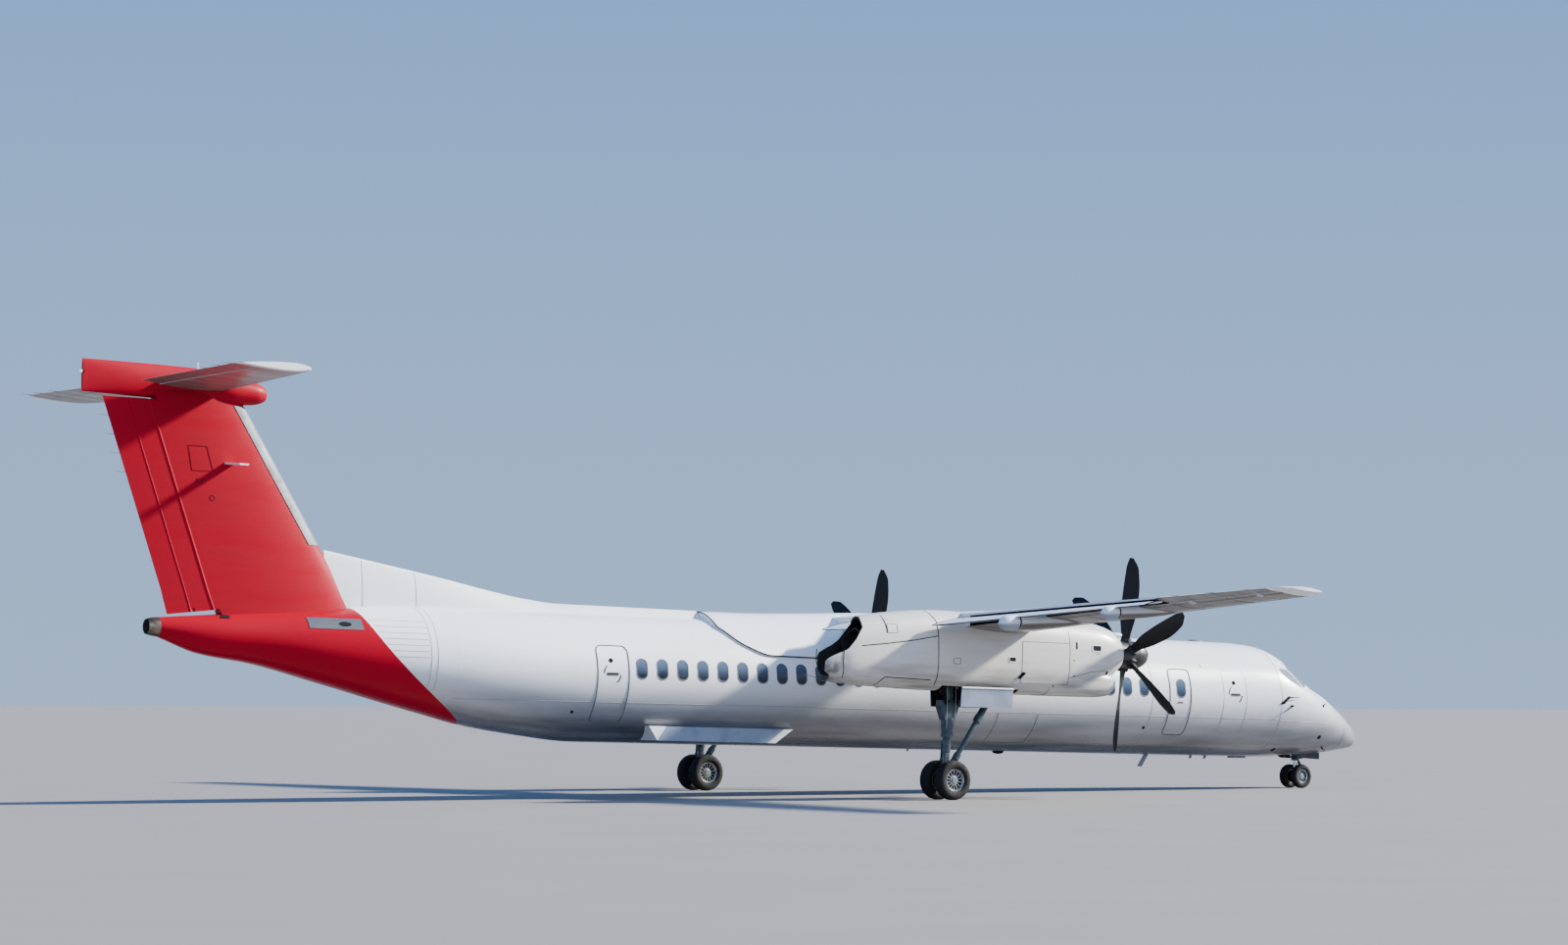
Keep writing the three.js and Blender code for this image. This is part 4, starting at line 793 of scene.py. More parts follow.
def softened(corners, cut=0.14, bend=4):
    """Rounds the corners of an outline."""
    path = []
    count = len(corners)
    for i in range(count):
        before, here, after = corners[i - 1], corners[i], corners[(i + 1) % count]
        a = [h + (b - h) * cut for h, b in zip(here, before)]
        b = [h + (n - h) * cut for h, n in zip(here, after)]
        for k in range(bend + 1):
            t = k / bend
            path.append(tuple((1 - t) ** 2 * p + 2 * t * (1 - t) * h + t * t * q
                              for p, h, q in zip(a, here, b)))
    finer = []
    for (u, v), (nu, nv) in zip(path, path[1:] + path[:1]):
        finer += [(u + (nu - u) * k / 3, v + (nv - v) * k / 3) for k in range(3)]
    return finer


def build_windscreen():
    """Cockpit panes, their frames and the wipers."""
    panes, frames = Form(), Form()
    for side in (LEFT, RIGHT):
        for corners in SCREENS.values():
            outline = softened(corners)
            panes.patch(screen_point(side), outline, -0.004, 0.005, rings=6)
            frames.hoop(screen_point(side), outline, 0.93, -0.004, 0.009)
    panes.build("windscreen_panes", "screen", stands_for="windscreen")
    frames.build("windscreen_frames", "boot")
    wipers = Form()
    for side in (LEFT, RIGHT):
        at = screen_point(side)
        wipers.bar(at(14.62, 0.10, 0.02), at(14.10, 0.26, 0.02), 0.012, 0.007, 8)
        wipers.bar(at(14.24, 0.10, 0.02), at(13.92, 0.33, 0.02), 0.008, sides=6)
        wipers.bar(at(14.64, 0.10, -0.01), at(14.62, 0.10, 0.045), 0.022, sides=10)
    wipers.build("windscreen_wipers", "rubber")


def ring_path(x, start, end, count=60):
    """Part of a ring round the hull, in degrees from the left side over the top."""
    return [hull(x, math.radians(a)) for a in steps(start, end, count)]


def side_line(side, x0, x1, z0, z1, count=24):
    return [hull_side(side, x, z0 + (z1 - z0) * i / count) for i, x in enumerate(steps(x0, x1, count))]


# Doors seen as joints in the skin: side, x0, x1, z0, z1, corner radius, whether the seal stands out
HATCHES = [
    (RIGHT, -5.80, -5.05, 1.43, 2.97, 0.13, True),
    (RIGHT, 9.47, 10.10, 1.48, 2.95, 0.10, True),
    (RIGHT, 11.10, 11.80, 1.54, 2.96, 0.10, False),
    (LEFT, -5.80, -5.05, 1.43, 2.97, 0.13, True),
    (LEFT, -7.35, -6.30, 1.60, 2.95, 0.10, False),
]


def build_joints(sizes):
    """Sealed joints of the fuselage skins, as beads along the surface."""
    thin, dark, belly = [], [], []
    for x in (NOSE_X, 8.95):
        thin.append((ring_path(x, 0, 360, count=95)[:-1], True))
    thin += [(ring_path(x, -36, 216, count=70), False) for x in (-9.33, -9.47)]
    thin.append((ring_path(RADOME_X, 0, 360, count=95)[:-1], True))
    a, b, c = RED_EDGE
    for side in (LEFT, RIGHT):
        thin.append((side_line(side, -8.85, 12.85, 1.82, 1.90, 60), False))
        # Ribs of the cone, which start just ahead of the red
        thin += [(side_line(side, a * z * z + b * z + c + 0.063, -9.5, z, z, 8), False)
                 for z in steps(2.6, 3.3, 6)]
        thin.append((side_line(side, 12.95, 14.7, 1.86, 1.84, 20), False))
        belly.append((side_line(side, 4.60, 5.71, 1.22, 1.22, 12), False))
        belly += [([hull_side(side, x, z) for z in steps(1.22, 1.85, 14)], False) for x in (4.60, 5.71)]
    for side, x0, x1, z0, z1, radius, strong in HATCHES:
        line = [hull_side(side, x, z) for x, z in dense(rounded(x0, x1, z0, z1, radius))]
        (dark if strong else thin).append((line, True))
    beads("fuselage_lap_joints", thin, sizes.joint_radius * 0.7, "boot")
    beads("fuselage_door_seals", dark, sizes.joint_radius * 2, "seam")
    beads("belly_panel_joints", belly, sizes.joint_radius, "seam")


# Small round ports: side, x, z, radius
PORTS = [
    (RIGHT, -6.25, 1.62, 0.035),
    (RIGHT, 8.86, 1.62, 0.04),
    (RIGHT, 13.25, 1.20, 0.05),
    (RIGHT, 14.47, 1.513, 0.055),
    (LEFT, 14.47, 1.513, 0.055),
    (LEFT, 13.25, 1.20, 0.05),
]
# Door handles: side, x, z
HANDLES = [(RIGHT, -5.45, 2.40), (LEFT, -5.45, 2.40), (RIGHT, 11.45, 2.42)]


def build_handles():
    """Door handles with their plates and arcs, round ports and emergency lamps."""
    fittings, dark, lamps = Form(), Form(), Form()
    for side, x, z in HANDLES:
        at = on_side(side)
        fittings.patch(at, rounded(x - 0.15, x + 0.15, z - 0.035, z + 0.035, 0.03), -0.004, 0.006, rings=2)
        dark.patch(at, rounded(x - 0.13, x + 0.13, z - 0.014, z + 0.014, 0.012), -0.002, 0.010, rings=2)
        dark.patch(at, ellipse(x - 0.03, z + 0.27, 0.05, 0.045, 12), -0.002, 0.008, rings=2)
        for turn in (125, 305):
            arc = [(x + 0.20 * math.cos(math.radians(a)), z + 0.20 * math.sin(math.radians(a)))
                   for a in steps(turn, turn + 50, 6)]
            for a, b in zip(arc, arc[1:]):
                dark.bar(at(*a, 0.002), at(*b, 0.002), 0.011, sides=6)
    dark.patch(on_side(RIGHT), rounded(9.70, 9.86, 2.19, 2.215, 0.01), -0.002, 0.006, rings=2)
    for side, x, z, radius in PORTS:
        dark.patch(on_side(side), ellipse(x, z, radius, radius * 0.8), -0.002, 0.006, rings=2)
    for side in (LEFT, RIGHT):
        lamps.patch(on_side(side), ellipse(10.6, 3.05, 0.05, 0.04), -0.002, 0.012, rings=3)
    fittings.build("door_handle_plates", "alloy")
    dark.build("door_handles_and_ports", "gap")
    lamps.build("emergency_lamps", "clear_lens")


# Blade aerials below the hull: x0, x1 and z of the root, x0, x1 and z of the tip, half width
BLADE_AERIALS = [
    (9.85, 10.00, 1.04, 9.65, 9.80, 0.750, 0.018),
    (11.24, 11.34, 1.04, 11.22, 11.29, 0.955, 0.014),
    (11.68, 11.78, 1.04, 11.66, 11.73, 0.955, 0.014),
    (3.04, 3.12, 1.04, 3.03, 3.08, 0.980, 0.012),
]
# Low domes on the centre line: x, degrees round the hull, half length, half width in radians, height
DOME_AERIALS = [
    (9.95, 90, 0.16, 0.06, 0.035),
    (11.40, 90, 0.20, 0.07, 0.040),
    (12.70, -90, 0.26, 0.10, 0.035),
]
# Bars of the air data probes: x, z and lift of one end, x, z and lift of the other, and both radii
PROBES = [
    (12.90, 2.270, 0.010, 13.12, 2.400, 0.060, 0.022, 0.014),
    (13.10, 2.395, 0.060, 13.42, 2.405, 0.060, 0.014, 0.008),
    (13.20, 2.210, 0.000, 13.23, 2.210, 0.060, 0.024, 0.020),
    (13.22, 2.210, 0.055, 12.93, 2.070, 0.055, 0.013, 0.008),
    (14.44, 2.210, -0.010, 14.47, 2.260, 0.050, 0.022, 0.014),
    (14.46, 2.260, 0.050, 14.60, 2.276, 0.050, 0.012, 0.008),
    (14.86, 1.270, -0.010, 14.88, 1.270, 0.050, 0.020, 0.014),
    (14.87, 1.270, 0.050, 14.98, 1.265, 0.050, 0.011, 0.008),
]
PROBE_FOOT = [(12.82, 2.235), (12.98, 2.25), (13.17, 2.43), (13.10, 2.43)]


def build_aerials():
    """Blade and dome aerials, the lower beacon and the air data probes."""
    blades, probes = Form(), Form()
    for root0, root1, root_z, tip0, tip1, tip_z, half in BLADE_AERIALS:
        blades.loft([[(x0, 0, z), ((x0 + x1) / 2, w, z), (x1, 0, z), ((x0 + x1) / 2, -w, z)]
                     for x0, x1, z, w in ((root0, root1, root_z, half), (tip0, tip1, tip_z, half * 0.6))])
    for x, degrees, long, wide, high in DOME_AERIALS:
        blades.patch(hull, ellipse(x, math.radians(degrees), long, wide, 20), -0.01, high, rings=3)
    blades.build("blade_aerials", "grey")
    beacon = [(0.04, 0.0), (0.04, 0.13), (-0.01, 0.13), (-0.045, 0.10), (-0.062, 0.0)]
    Form().spin(beacon, (5.58, 0, 1.024), "z", 24).build("belly_beacon", "gap")
    for x0, z0, lift0, x1, z1, lift1, r0, r1 in PROBES:
        for side in (LEFT, RIGHT):
            probes.bar(hull_side(side, x0, z0, lift0), hull_side(side, x1, z1, lift1), r0, r1, 10)
    for side in (LEFT, RIGHT):
        probes.patch(on_side(side), PROBE_FOOT, -0.003, 0.012, rings=2)
    probes.build("air_data_probes", "gap")


# Hinge line of the airstair: y, z, radius of its knuckles, and their ends on the door and on the sill
HINGE_Y, HINGE_Z, HINGE_R = 0.966, 1.428, 0.012
DOOR_KNUCKLES = ((11.150, 11.210), (11.670, 11.730))
SILL_KNUCKLES = ((11.2104, 11.270), (11.610, 11.6696))
STAIR_STEPS = (1.70, 1.98, 2.26, 2.54, 2.82)


def build_airstair():
    """The passenger door with its steps, side rails and hinge knuckles."""
    x0, x1 = DOOR["x0"] + DOOR["seam"], DOOR["x1"] - DOOR["seam"]
    z0, z1 = DOOR["z0"] + DOOR["seam"], DOOR["z1"] - DOOR["seam"]
    at = on_side(LEFT)
    door = Form().sheet(at, steps(x0, x1, 8), steps(z0, z1, 30), -DOOR["wall"], 0.0)

    def inner(z, inset):
        return math.sqrt(SKIN_R ** 2 - (z - AXIS_Z) ** 2) - inset

    for z in STAIR_STEPS:
        back = inner(z, DOOR["wall"] + 0.18)
        door.box((x0 + 0.06, back, z - 0.014), (x1 - 0.06, back + 0.19, z + 0.014), 1)
        door.bar((x0 + 0.06, back, z), (x1 - 0.06, back, z), 0.016, sides=8, finish=2)
    for x in (x0 + 0.06, x1 - 0.09):
        door.loft([[(x, inner(z, 0.04), z), (x + 0.03, inner(z, 0.04), z), (x + 0.03, inner(z, 0.24), z),
                    (x, inner(z, 0.24), z)] for z in steps(1.56, 2.94, 16)], 2)
    for start, end in DOOR_KNUCKLES:
        door.bar((start, HINGE_Y, HINGE_Z), (end, HINGE_Y, HINGE_Z), HINGE_R, finish=2)
    door.build("airstair", "hull grey alloy", body="airstair", stands_for="airstair_door")
    ring = [hull_side(LEFT, x, z, 0.001) for x, z in dense(rounded(x0, x1, z0, z1, 0.03))]
    beads("airstair_seal", [(ring, True)], 0.004, "seam", body="airstair")
    lugs = Form()
    for start, end in SILL_KNUCKLES:
        lugs.bar((start, HINGE_Y, HINGE_Z), (end, HINGE_Y, HINGE_Z), HINGE_R)
        lugs.box((start, HINGE_Y - 0.042, HINGE_Z - 0.01), (end, HINGE_Y, HINGE_Z))
    lugs.build("airstair_hinge_lugs", "alloy")


# Corners of the strakes and of their end plates, as x and z
STRAKE = [(-4.38, 1.38), (-0.78, 1.38), (-1.22, 1.09), (-4.17, 1.09)]
STRAKE_ENDS = [[(-4.38, 1.38), (-3.96, 1.38), (-4.17, 1.09)],
               [(-1.00, 1.38), (-0.78, 1.38), (-1.22, 1.09), (-1.42, 1.09)]]


def build_strakes():
    """Long flat fairings on the lower cabin: white, with the outer face between the white ends painted
    blue-grey as shade.
    """
    for name, side in SIDES:
        form = Form()
        root = [(x, hull_side(LEFT, x, z)[1] - 0.05, z) for x, z in STRAKE]
        form.loft([root, [(x, 1.058, z) for x, z in STRAKE]])
        # The outer face takes the blue-grey painted shade
        form.finish[-1] = 1
        for end in STRAKE_ENDS:
            form.loft([[(x, y, z) for x, z in end] for y in (1.050, 1.060)])
        form.build(f"strake_{name}_skin", "white door", slot="grey_paint", flip=side < 0)


# Wing rows: y, leading edge x, chord, thickness share, height, nose-up twist in degrees
WING = [
    (0, 2.650, 2.750, 0.18, 3.640, 0.5),
    (WING_KINK_Y, 2.650, 2.750, 0.18, 3.640, 0.5),
    (TIP_CHORD_Y, 1.710, 1.080, 0.13, 4.075, -3),
    (WING_TIP_Y, 1.640, 0.760, 0.06, 4.085, -3),
]
TWIST_AT = 0.4


def half_thickness(share, thickness):
    """Half thickness of a symmetric aerofoil, by the usual four-digit formula."""
    return 5 * thickness * (0.2969 * math.sqrt(share) - 0.126 * share - 0.3516 * share ** 2
                            + 0.2843 * share ** 3 - 0.1015 * share ** 4)


def section(thickness, start, end, count=18):
    """Outline of a symmetric section from nose to a cut, as pairs along and up, in shares of the chord."""
    shares = [start + (end - start) * (1 - math.cos(math.pi / 2 * i / count)) for i in range(count + 1)]
    upper = [(s, half_thickness(s, thickness)) for s in shares]
    lower = [(s, -half_thickness(s, thickness)) for s in reversed(shares)]
    return upper + (lower if start > 0 else lower[:-1])


def hinged(thickness, start, end=1.0):
    """Outline of a hinged trailing piece, with a round nose about its hinge."""
    radius = half_thickness(start, thickness)
    body = [p for p in section(thickness, start, end, 12) if p[0] > start + radius * 1.05]
    nose = [(start + radius * (1 - math.cos(math.radians(a))), radius * math.sin(math.radians(a)))
            for a in steps(-90, 90, 8)]
    return nose + body


def wing_ring(y, start, end, grow=0.0, shape=section):
    """Section of the wing between two shares of its chord, twisted about TWIST_AT."""
    _, lead, chord, thickness, height, twist = straight(WING, abs(y))
    angle = math.radians(twist)
    ring = []
    for s, t in shape(thickness, start, end):
        along, up = s * chord, t * chord
        along -= grow if s < 0.02 else 0
        up += math.copysign(grow, up) if up else 0
        ring.append((lead - along * math.cos(angle) - up * math.sin(angle), y,
                     height + up * math.cos(angle) - (along - TWIST_AT * chord) * math.sin(angle)))
    return ring


def wing_surface(y, share, lift=0.0, up=1):
    """A point of the wing's upper or lower skin."""
    _, lead, chord, thickness, height, twist = straight(WING, abs(y))
    angle = math.radians(twist)
    along, rise = share * chord, up * (half_thickness(share, thickness) * chord + lift)
    return (lead - along * math.cos(angle) - rise * math.sin(angle), y,
            height + rise * math.cos(angle) - (along - TWIST_AT * chord) * math.sin(angle))


# Under-wing flap fairings: y, front x, rear x, front height, rear height, half width, half depth
FAIRINGS = [
    (7.350, 1.900, -0.400, 3.640, 3.520, 0.140, 0.155),
    (10.050, 1.900, -0.100, 3.785, 3.680, 0.120, 0.135),
]
FAIRING_SPLIT = 0.80
FAIRING_SLOT = 0.02
FLAP_DROP = math.radians(9)
FLAP_BACK = 0.15
FLAP_SHARE = 0.30
FLAP_INSET = 0.055
FLAP_SINK = 0.012


def fairing_rings(row, start, end, count=16):
    """Rings of a flap fairing from one share of its length to another."""
    y, front, rear, z0, z1, half, depth = row
    rings = []
    for s in steps(start, end, count):
        swell = max(math.sin(math.pi * min(s * 0.55, 0.5)) ** 0.6, 0.03)
        tail = math.sqrt(max(1 - ((s - 0.9) / 0.1) ** 2, 0.002)) if s > 0.9 else 1
        size = swell * tail
        rings.append([(front + (rear - front) * s, y + half * size * math.cos(TAU * k / 32),
                       z0 + (z1 - z0) * s + depth * size * math.sin(TAU * k / 32)) for k in range(32)])
    return rings


def flap_point(y, share, rise):
    """A point of a flap's section, run out and turned down."""
    _, lead, chord, _, height, _ = straight(WING, abs(y))
    size = chord * FLAP_SHARE
    nose = lead - chord * WING_SPAR - FLAP_INSET - FLAP_BACK * chord / WING[0][2]
    along, up = share * size, rise * size
    return (nose - along * math.cos(FLAP_DROP) + up * math.sin(FLAP_DROP), y,
            height - FLAP_SINK * chord + up * math.cos(FLAP_DROP) - along * math.sin(FLAP_DROP))


def flap_rings(y0, y1, count=10):
    rings = []
    for y in steps(y0, y1, count):
        thickness = straight(WING, abs(y))[3]
        rings.append([flap_point(y, s, t) for s, t in section(thickness * 0.8, 0, 1, 16)])
    return rings


def slot_lip(y, share, lift):
    """Place on the upper skin where it reaches over a flap's nose; lift is a share of the chord."""
    return wing_surface(y, share, lift * straight(WING, abs(y))[2])


AILERON_FROM = WING_SPAR + 0.012
WING_END_Y = AILERON_Y[1] + 0.03
FLAP_ARMS_Y = (1.90, 3.30)
LIP_SHARES = steps(WING_SPAR - 0.008, WING_SPAR + 0.075, 3)
LIP_LIFTS = (-0.017, 0.0004)
TANK_COVERS_Y = (5.9, 6.8, 8.3, 9.1, 11.4, 12.3)
AILERON_BRACKETS_Y = (11.5, 13.3)
# Corners of an aileron bracket: share of the chord, lift below the lower skin
BRACKET = ((0.60, 0.005), (0.70, 0.05), (0.75, 0.05), (0.75, -0.02))


def build_wing():
    """Wing box, flaps, ailerons, their fairings and the joints of the skins."""
    centre = Form().loft([wing_ring(y, 0, WING_SPAR) for y in steps(-WING_JOINT_Y, WING_JOINT_Y, 8)])
    for side in (LEFT, RIGHT):
        span = [side * y for y in steps(*FLAP_INNER_Y, 4)]
        # A thin near-black strip on the spar face is painted shade in the slot over the inboard flap
        centre.loft([wing_ring(y, WING_SPAR, WING_SPAR + 0.002) for y in span], 1)
        centre.sheet(slot_lip, span, LIP_SHARES, *LIP_LIFTS)
    centre.build("wing_centre_skin", "wing gap")
    for name, side in SIDES:
        build_wing_panel(name, side < 0)
        build_wing_details(name, side < 0)


def build_wing_panel(name, flip):
    """One outer wing with its flaps, aileron and boots."""
    panel = Form().loft([wing_ring(y, 0, WING_SPAR) for y in steps(WING_JOINT_Y + 0.001, WING_END_Y, 12)])
    for row in FAIRINGS:
        panel.loft(fairing_rings(row, 0, FAIRING_SPLIT))
        # The smaller core shows in the fairing's slot in near-black: painted shade
        core = (*row[:5], row[5] * 0.92, row[6] * 0.92)
        panel.loft(fairing_rings(core, FAIRING_SPLIT - 0.01, FAIRING_SPLIT + FAIRING_SLOT + 0.01, 3), 2)
    # A thin near-black strip on the spar face is painted shade in the slot over the outboard flap
    panel.loft([wing_ring(y, WING_SPAR, WING_SPAR + 0.002) for y in steps(*FLAP_Y, 8)], 2)
    panel.sheet(slot_lip, steps(*FLAP_Y, 12), LIP_SHARES, *LIP_LIFTS)
    tip_ys = (WING_END_Y, 13.95, TIP_CHORD_Y, WING_TIP_Y - 0.05, WING_TIP_Y)
    panel.loft([wing_ring(y, 0, 1) for y in tip_ys], 1)
    panel.build(f"wing_{name}_skin", "wing white gap", flip=flip)
    outer = Form().loft(flap_rings(*FLAP_Y))
    for row in FAIRINGS:
        outer.loft(fairing_rings(row, FAIRING_SPLIT + FAIRING_SLOT, 1))
    outer.build(f"flap_outboard_{name}_skin", "flap", flip=flip)
    inner = Form().loft(flap_rings(*FLAP_INNER_Y, 5))
    for y in FLAP_ARMS_Y:
        inner.box((0.25, y - 0.012, 3.545), (0.669, y + 0.012, 3.600))
    inner.build(f"flap_inboard_{name}_skin", "flap", flip=flip)
    aileron = Form().loft([wing_ring(y, AILERON_FROM, 1, 0, hinged) for y in steps(*AILERON_Y, 5)])
    aileron.build(f"aileron_{name}_skin", "wing", body=f"{name}_aileron", flip=flip)
    boots = Form()
    for y0, y1 in ((5.25, 9.4), (9.43, 13.6)):
        boots.loft([wing_ring(y, 0, 0.075, 0.004) for y in steps(y0, y1, 8)])
    boots.build(f"wing_boots_{name}", "boot", flip=flip)


def build_wing_details(name, flip):
    """Joints, covers, brackets, wicks and the tip lamp of one wing."""
    sign = -1 if flip else 1
    # Near-black beads along the flaps' trailing edges and round their ends are painted shade in the gaps
    edges = [([flap_point(sign * y, 0.975, -0.012) for y in steps(y0, y1, 8)], False)
             for y0, y1 in (FLAP_Y, FLAP_INNER_Y)]
    for y in (*FLAP_INNER_Y, *FLAP_Y):
        thickness = straight(WING, y)[3] * 0.8
        edges.append(([flap_point(sign * y, s, t) for s, t in section(thickness, 0, 1, 10)], True))
    beads(f"flap_edges_{name}", edges, 0.010, "gap")
    lines = []
    for up in (1, -1):
        lines += [([wing_surface(sign * y, share, 0, up) for y in steps(5.2, 13.8, 12)], False)
                  for share in (0.14, 0.62)]
        lines += [([wing_surface(sign * y, share, 0, up) for share in steps(0.09, 0.71, 10)], False)
                  for y in (6.2, 7.6, 9.2, 10.93, 12.4, 13.85)]
    beads(f"wing_joints_{name}", lines, 0.006, "seam", sides=5)
    covers = Form()
    for y in TANK_COVERS_Y:
        covers.patch(lambda u, v, lift: wing_surface(v, u, lift, -1),
                     ellipse(0.36, sign * y, 0.055, 0.13, 24), -0.003, 0.004, rings=2)
    covers.build(f"tank_covers_{name}", "grey")
    brackets = Form()
    for y in AILERON_BRACKETS_Y:
        corners = [wing_surface(y, share, lift, -1)[::2] for share, lift in BRACKET]
        brackets.loft([[(x, sign * y + dy, z) for x, z in corners] for dy in (-0.018, 0.018)])
    brackets.build(f"aileron_hinge_brackets_{name}", "wing")
    wicks = Form().bar((0, 0, 0), (-0.22, 0, -0.01), 0.004, 0.002, 6)
    spots = [(wing_surface(sign * y, 0.995), (0, 0, 0)) for y in (11.6, 12.5, 13.4)]
    copies(f"aileron_wicks_{name}", wicks, spots, "gap", body=f"{name}_aileron")
    tip = Form().spin([(0.0, 0.03), (0.05, 0.028), (0.09, 0.015), (0.10, 0.0)], (1.50, 14.13, 4.085), "x", 20)
    tip.build(f"wing_tip_lamp_{name}", "green_lens" if flip else "red_lens", flip=flip)


# Saddle that blends the wing into the cabin roof: x, top, lower edge
SADDLE = [
    (-2.560, 3.780, 3.420),
    (-2.100, 3.795, 3.080),
    (-1.450, 3.800, 2.880),
    (-0.300, 3.835, 2.870),
    (2.400, 3.935, 2.870),
    (3.300, 3.900, 2.900),
    (3.900, 3.790, 3.100),
    (4.300, 3.665, 3.500),
]
SADDLE_HALF = 1.345


def build_saddle():
    """The fairing over the cabin roof and its sealed edge."""
    rings = []
    for x in steps(SADDLE[0][0], SADDLE[-1][0], 60):
        _, top, edge = eased(SADDLE, x)
        start = math.asin((edge - AXIS_Z) / SKIN_R)
        ring = []
        for i in range(41):
            angle = start + (math.pi - 2 * start) * i / 40
            lift = (top - AXIS_Z - SADDLE_HALF) * max(math.sin(angle), 0) ** 6
            ring.append((x, SADDLE_HALF * math.cos(angle), AXIS_Z + (SADDLE_HALF + lift) * math.sin(angle)))
        rings.append(ring)
    Form().loft(rings).build("wing_saddle_skin", "hull")
    path = [ring[0] for ring in rings]
    lines = [(line, False) for line in (path, [(x, -y, z) for x, y, z in path], rings[0], rings[-1])]
    beads("wing_saddle_seal", lines, 0.013, "gap")


# Tail

def fin_lead(z):
    return -10.740 - 0.657 * (z - FIN_FOOT)


def fin_hinge(z):
    return -13.640 - 0.377 * (z - 3.400)


def fin_split(z):
    return -14.170 - 0.373 * (z - 3.460)


def fin_trail(z):
    return -14.670 - 0.373 * (z - 3.300)


FIN_THICKNESS = 0.11


def fin_ring(z, start=None, end=None, before=0.0, after=0.0, grow=0.0):
    """Section of the fin and rudders at a height, from one raked line to another."""
    lead = fin_lead(z)
    chord = lead - fin_trail(z)
    first = (lead - start(z) + before) / chord if start else 0
    last = (lead - end(z) - after) / chord if end else 1
    outline = hinged(FIN_THICKNESS, first, last) if start else section(FIN_THICKNESS, 0, last)
    ring = []
    for s, t in outline:
        across = t * chord
        across += math.copysign(grow, across) if across else 0
        ring.append((lead - s * chord + (grow if s < 0.003 else 0), across, z))
    return ring


def fin_surface(side):
    """Place on the fin and rudder skins: x, height and lift outwards."""
    def at(x, z, lift):
        lead = fin_lead(z)
        chord = lead - fin_trail(z)
        return (x, side * (half_thickness(clamp((lead - x) / chord, 0, 1), FIN_THICKNESS) * chord + lift), z)
    return at


def gap_covers(form, edge, before):
    """Thin lips from a fixed skin over the round nose of the piece that is hinged behind it."""
    low, high = RUDDER_Z
    for side in (LEFT, RIGHT):
        surface = fin_surface(side)

        def place(share, z, lift, surface=surface):
            lead = fin_lead(z)
            chord = lead - fin_trail(z)
            nose = (lead - edge(z) + before) / chord
            centre = lead - (nose + half_thickness(nose, FIN_THICKNESS)) * chord
            front, rear = edge(z) + 0.02, centre + 0.02
            return surface(front + (rear - front) * share, z, lift)
        form.sheet(place, steps(0, 1, 3), steps(low + 0.06, high, 8), 0.0002, 0.003)
    return form


# Dorsal fin: x, top, half width at the foot
DORSAL_FOOT = 3.44
DORSAL = [
    (-11.380, 4.640, 0.110),
    (-10.000, 4.420, 0.140),
    (-8.700, 4.205, 0.165),
    (-7.600, 4.005, 0.180),
    (-6.800, 3.880, 0.190),
    (-6.000, 3.812, 0.200),
    (-2.575, 3.800, 0.210),
]
# Stabiliser rows: y, leading edge x, hinge x, trailing edge x
STAB = [
    (0, -13.560, -15.060, -15.480),
    (4.470, -14.170, -15.235, -15.700),
    (4.635, -14.300, -15.275, -15.650),
]
STAB_THICKNESS = 0.1
# Cap over the fin: x, top, bottom, half width
CAP = [
    (-16.593, 7.985, 7.365, 0.035),
    (-15.600, 7.985, 7.345, 0.120),
    (-14.400, 7.975, 7.335, 0.160),
    (-13.950, 7.940, 7.335, 0.215),
    (-13.500, 7.880, 7.320, 0.255),
    (-13.050, 7.800, 7.345, 0.235),
    (-12.800, 7.700, 7.420, 0.150),
    (-12.740, 7.600, 7.545, 0.030),
]


def stab_ring(y, part, grow=0.0):
    """Section of a part of the stabiliser."""
    _, lead, hinge, trail = straight(STAB, abs(y))
    chord = lead - trail
    share = (lead - hinge) / chord
    if part == "elevator":
        outline = hinged(STAB_THICKNESS, share + 0.014 / chord, 1)
    else:
        last = {"fixed": share - 0.006 / chord, "whole": 1.0, "boot": 0.09}[part]
        outline = section(STAB_THICKNESS, 0, last)
    ring = []
    for s, t in outline:
        up = t * chord
        up += math.copysign(grow, up) if up else 0
        ring.append((lead - s * chord + (grow if s < 0.003 else 0), y, STAB_Z + up))
    return ring


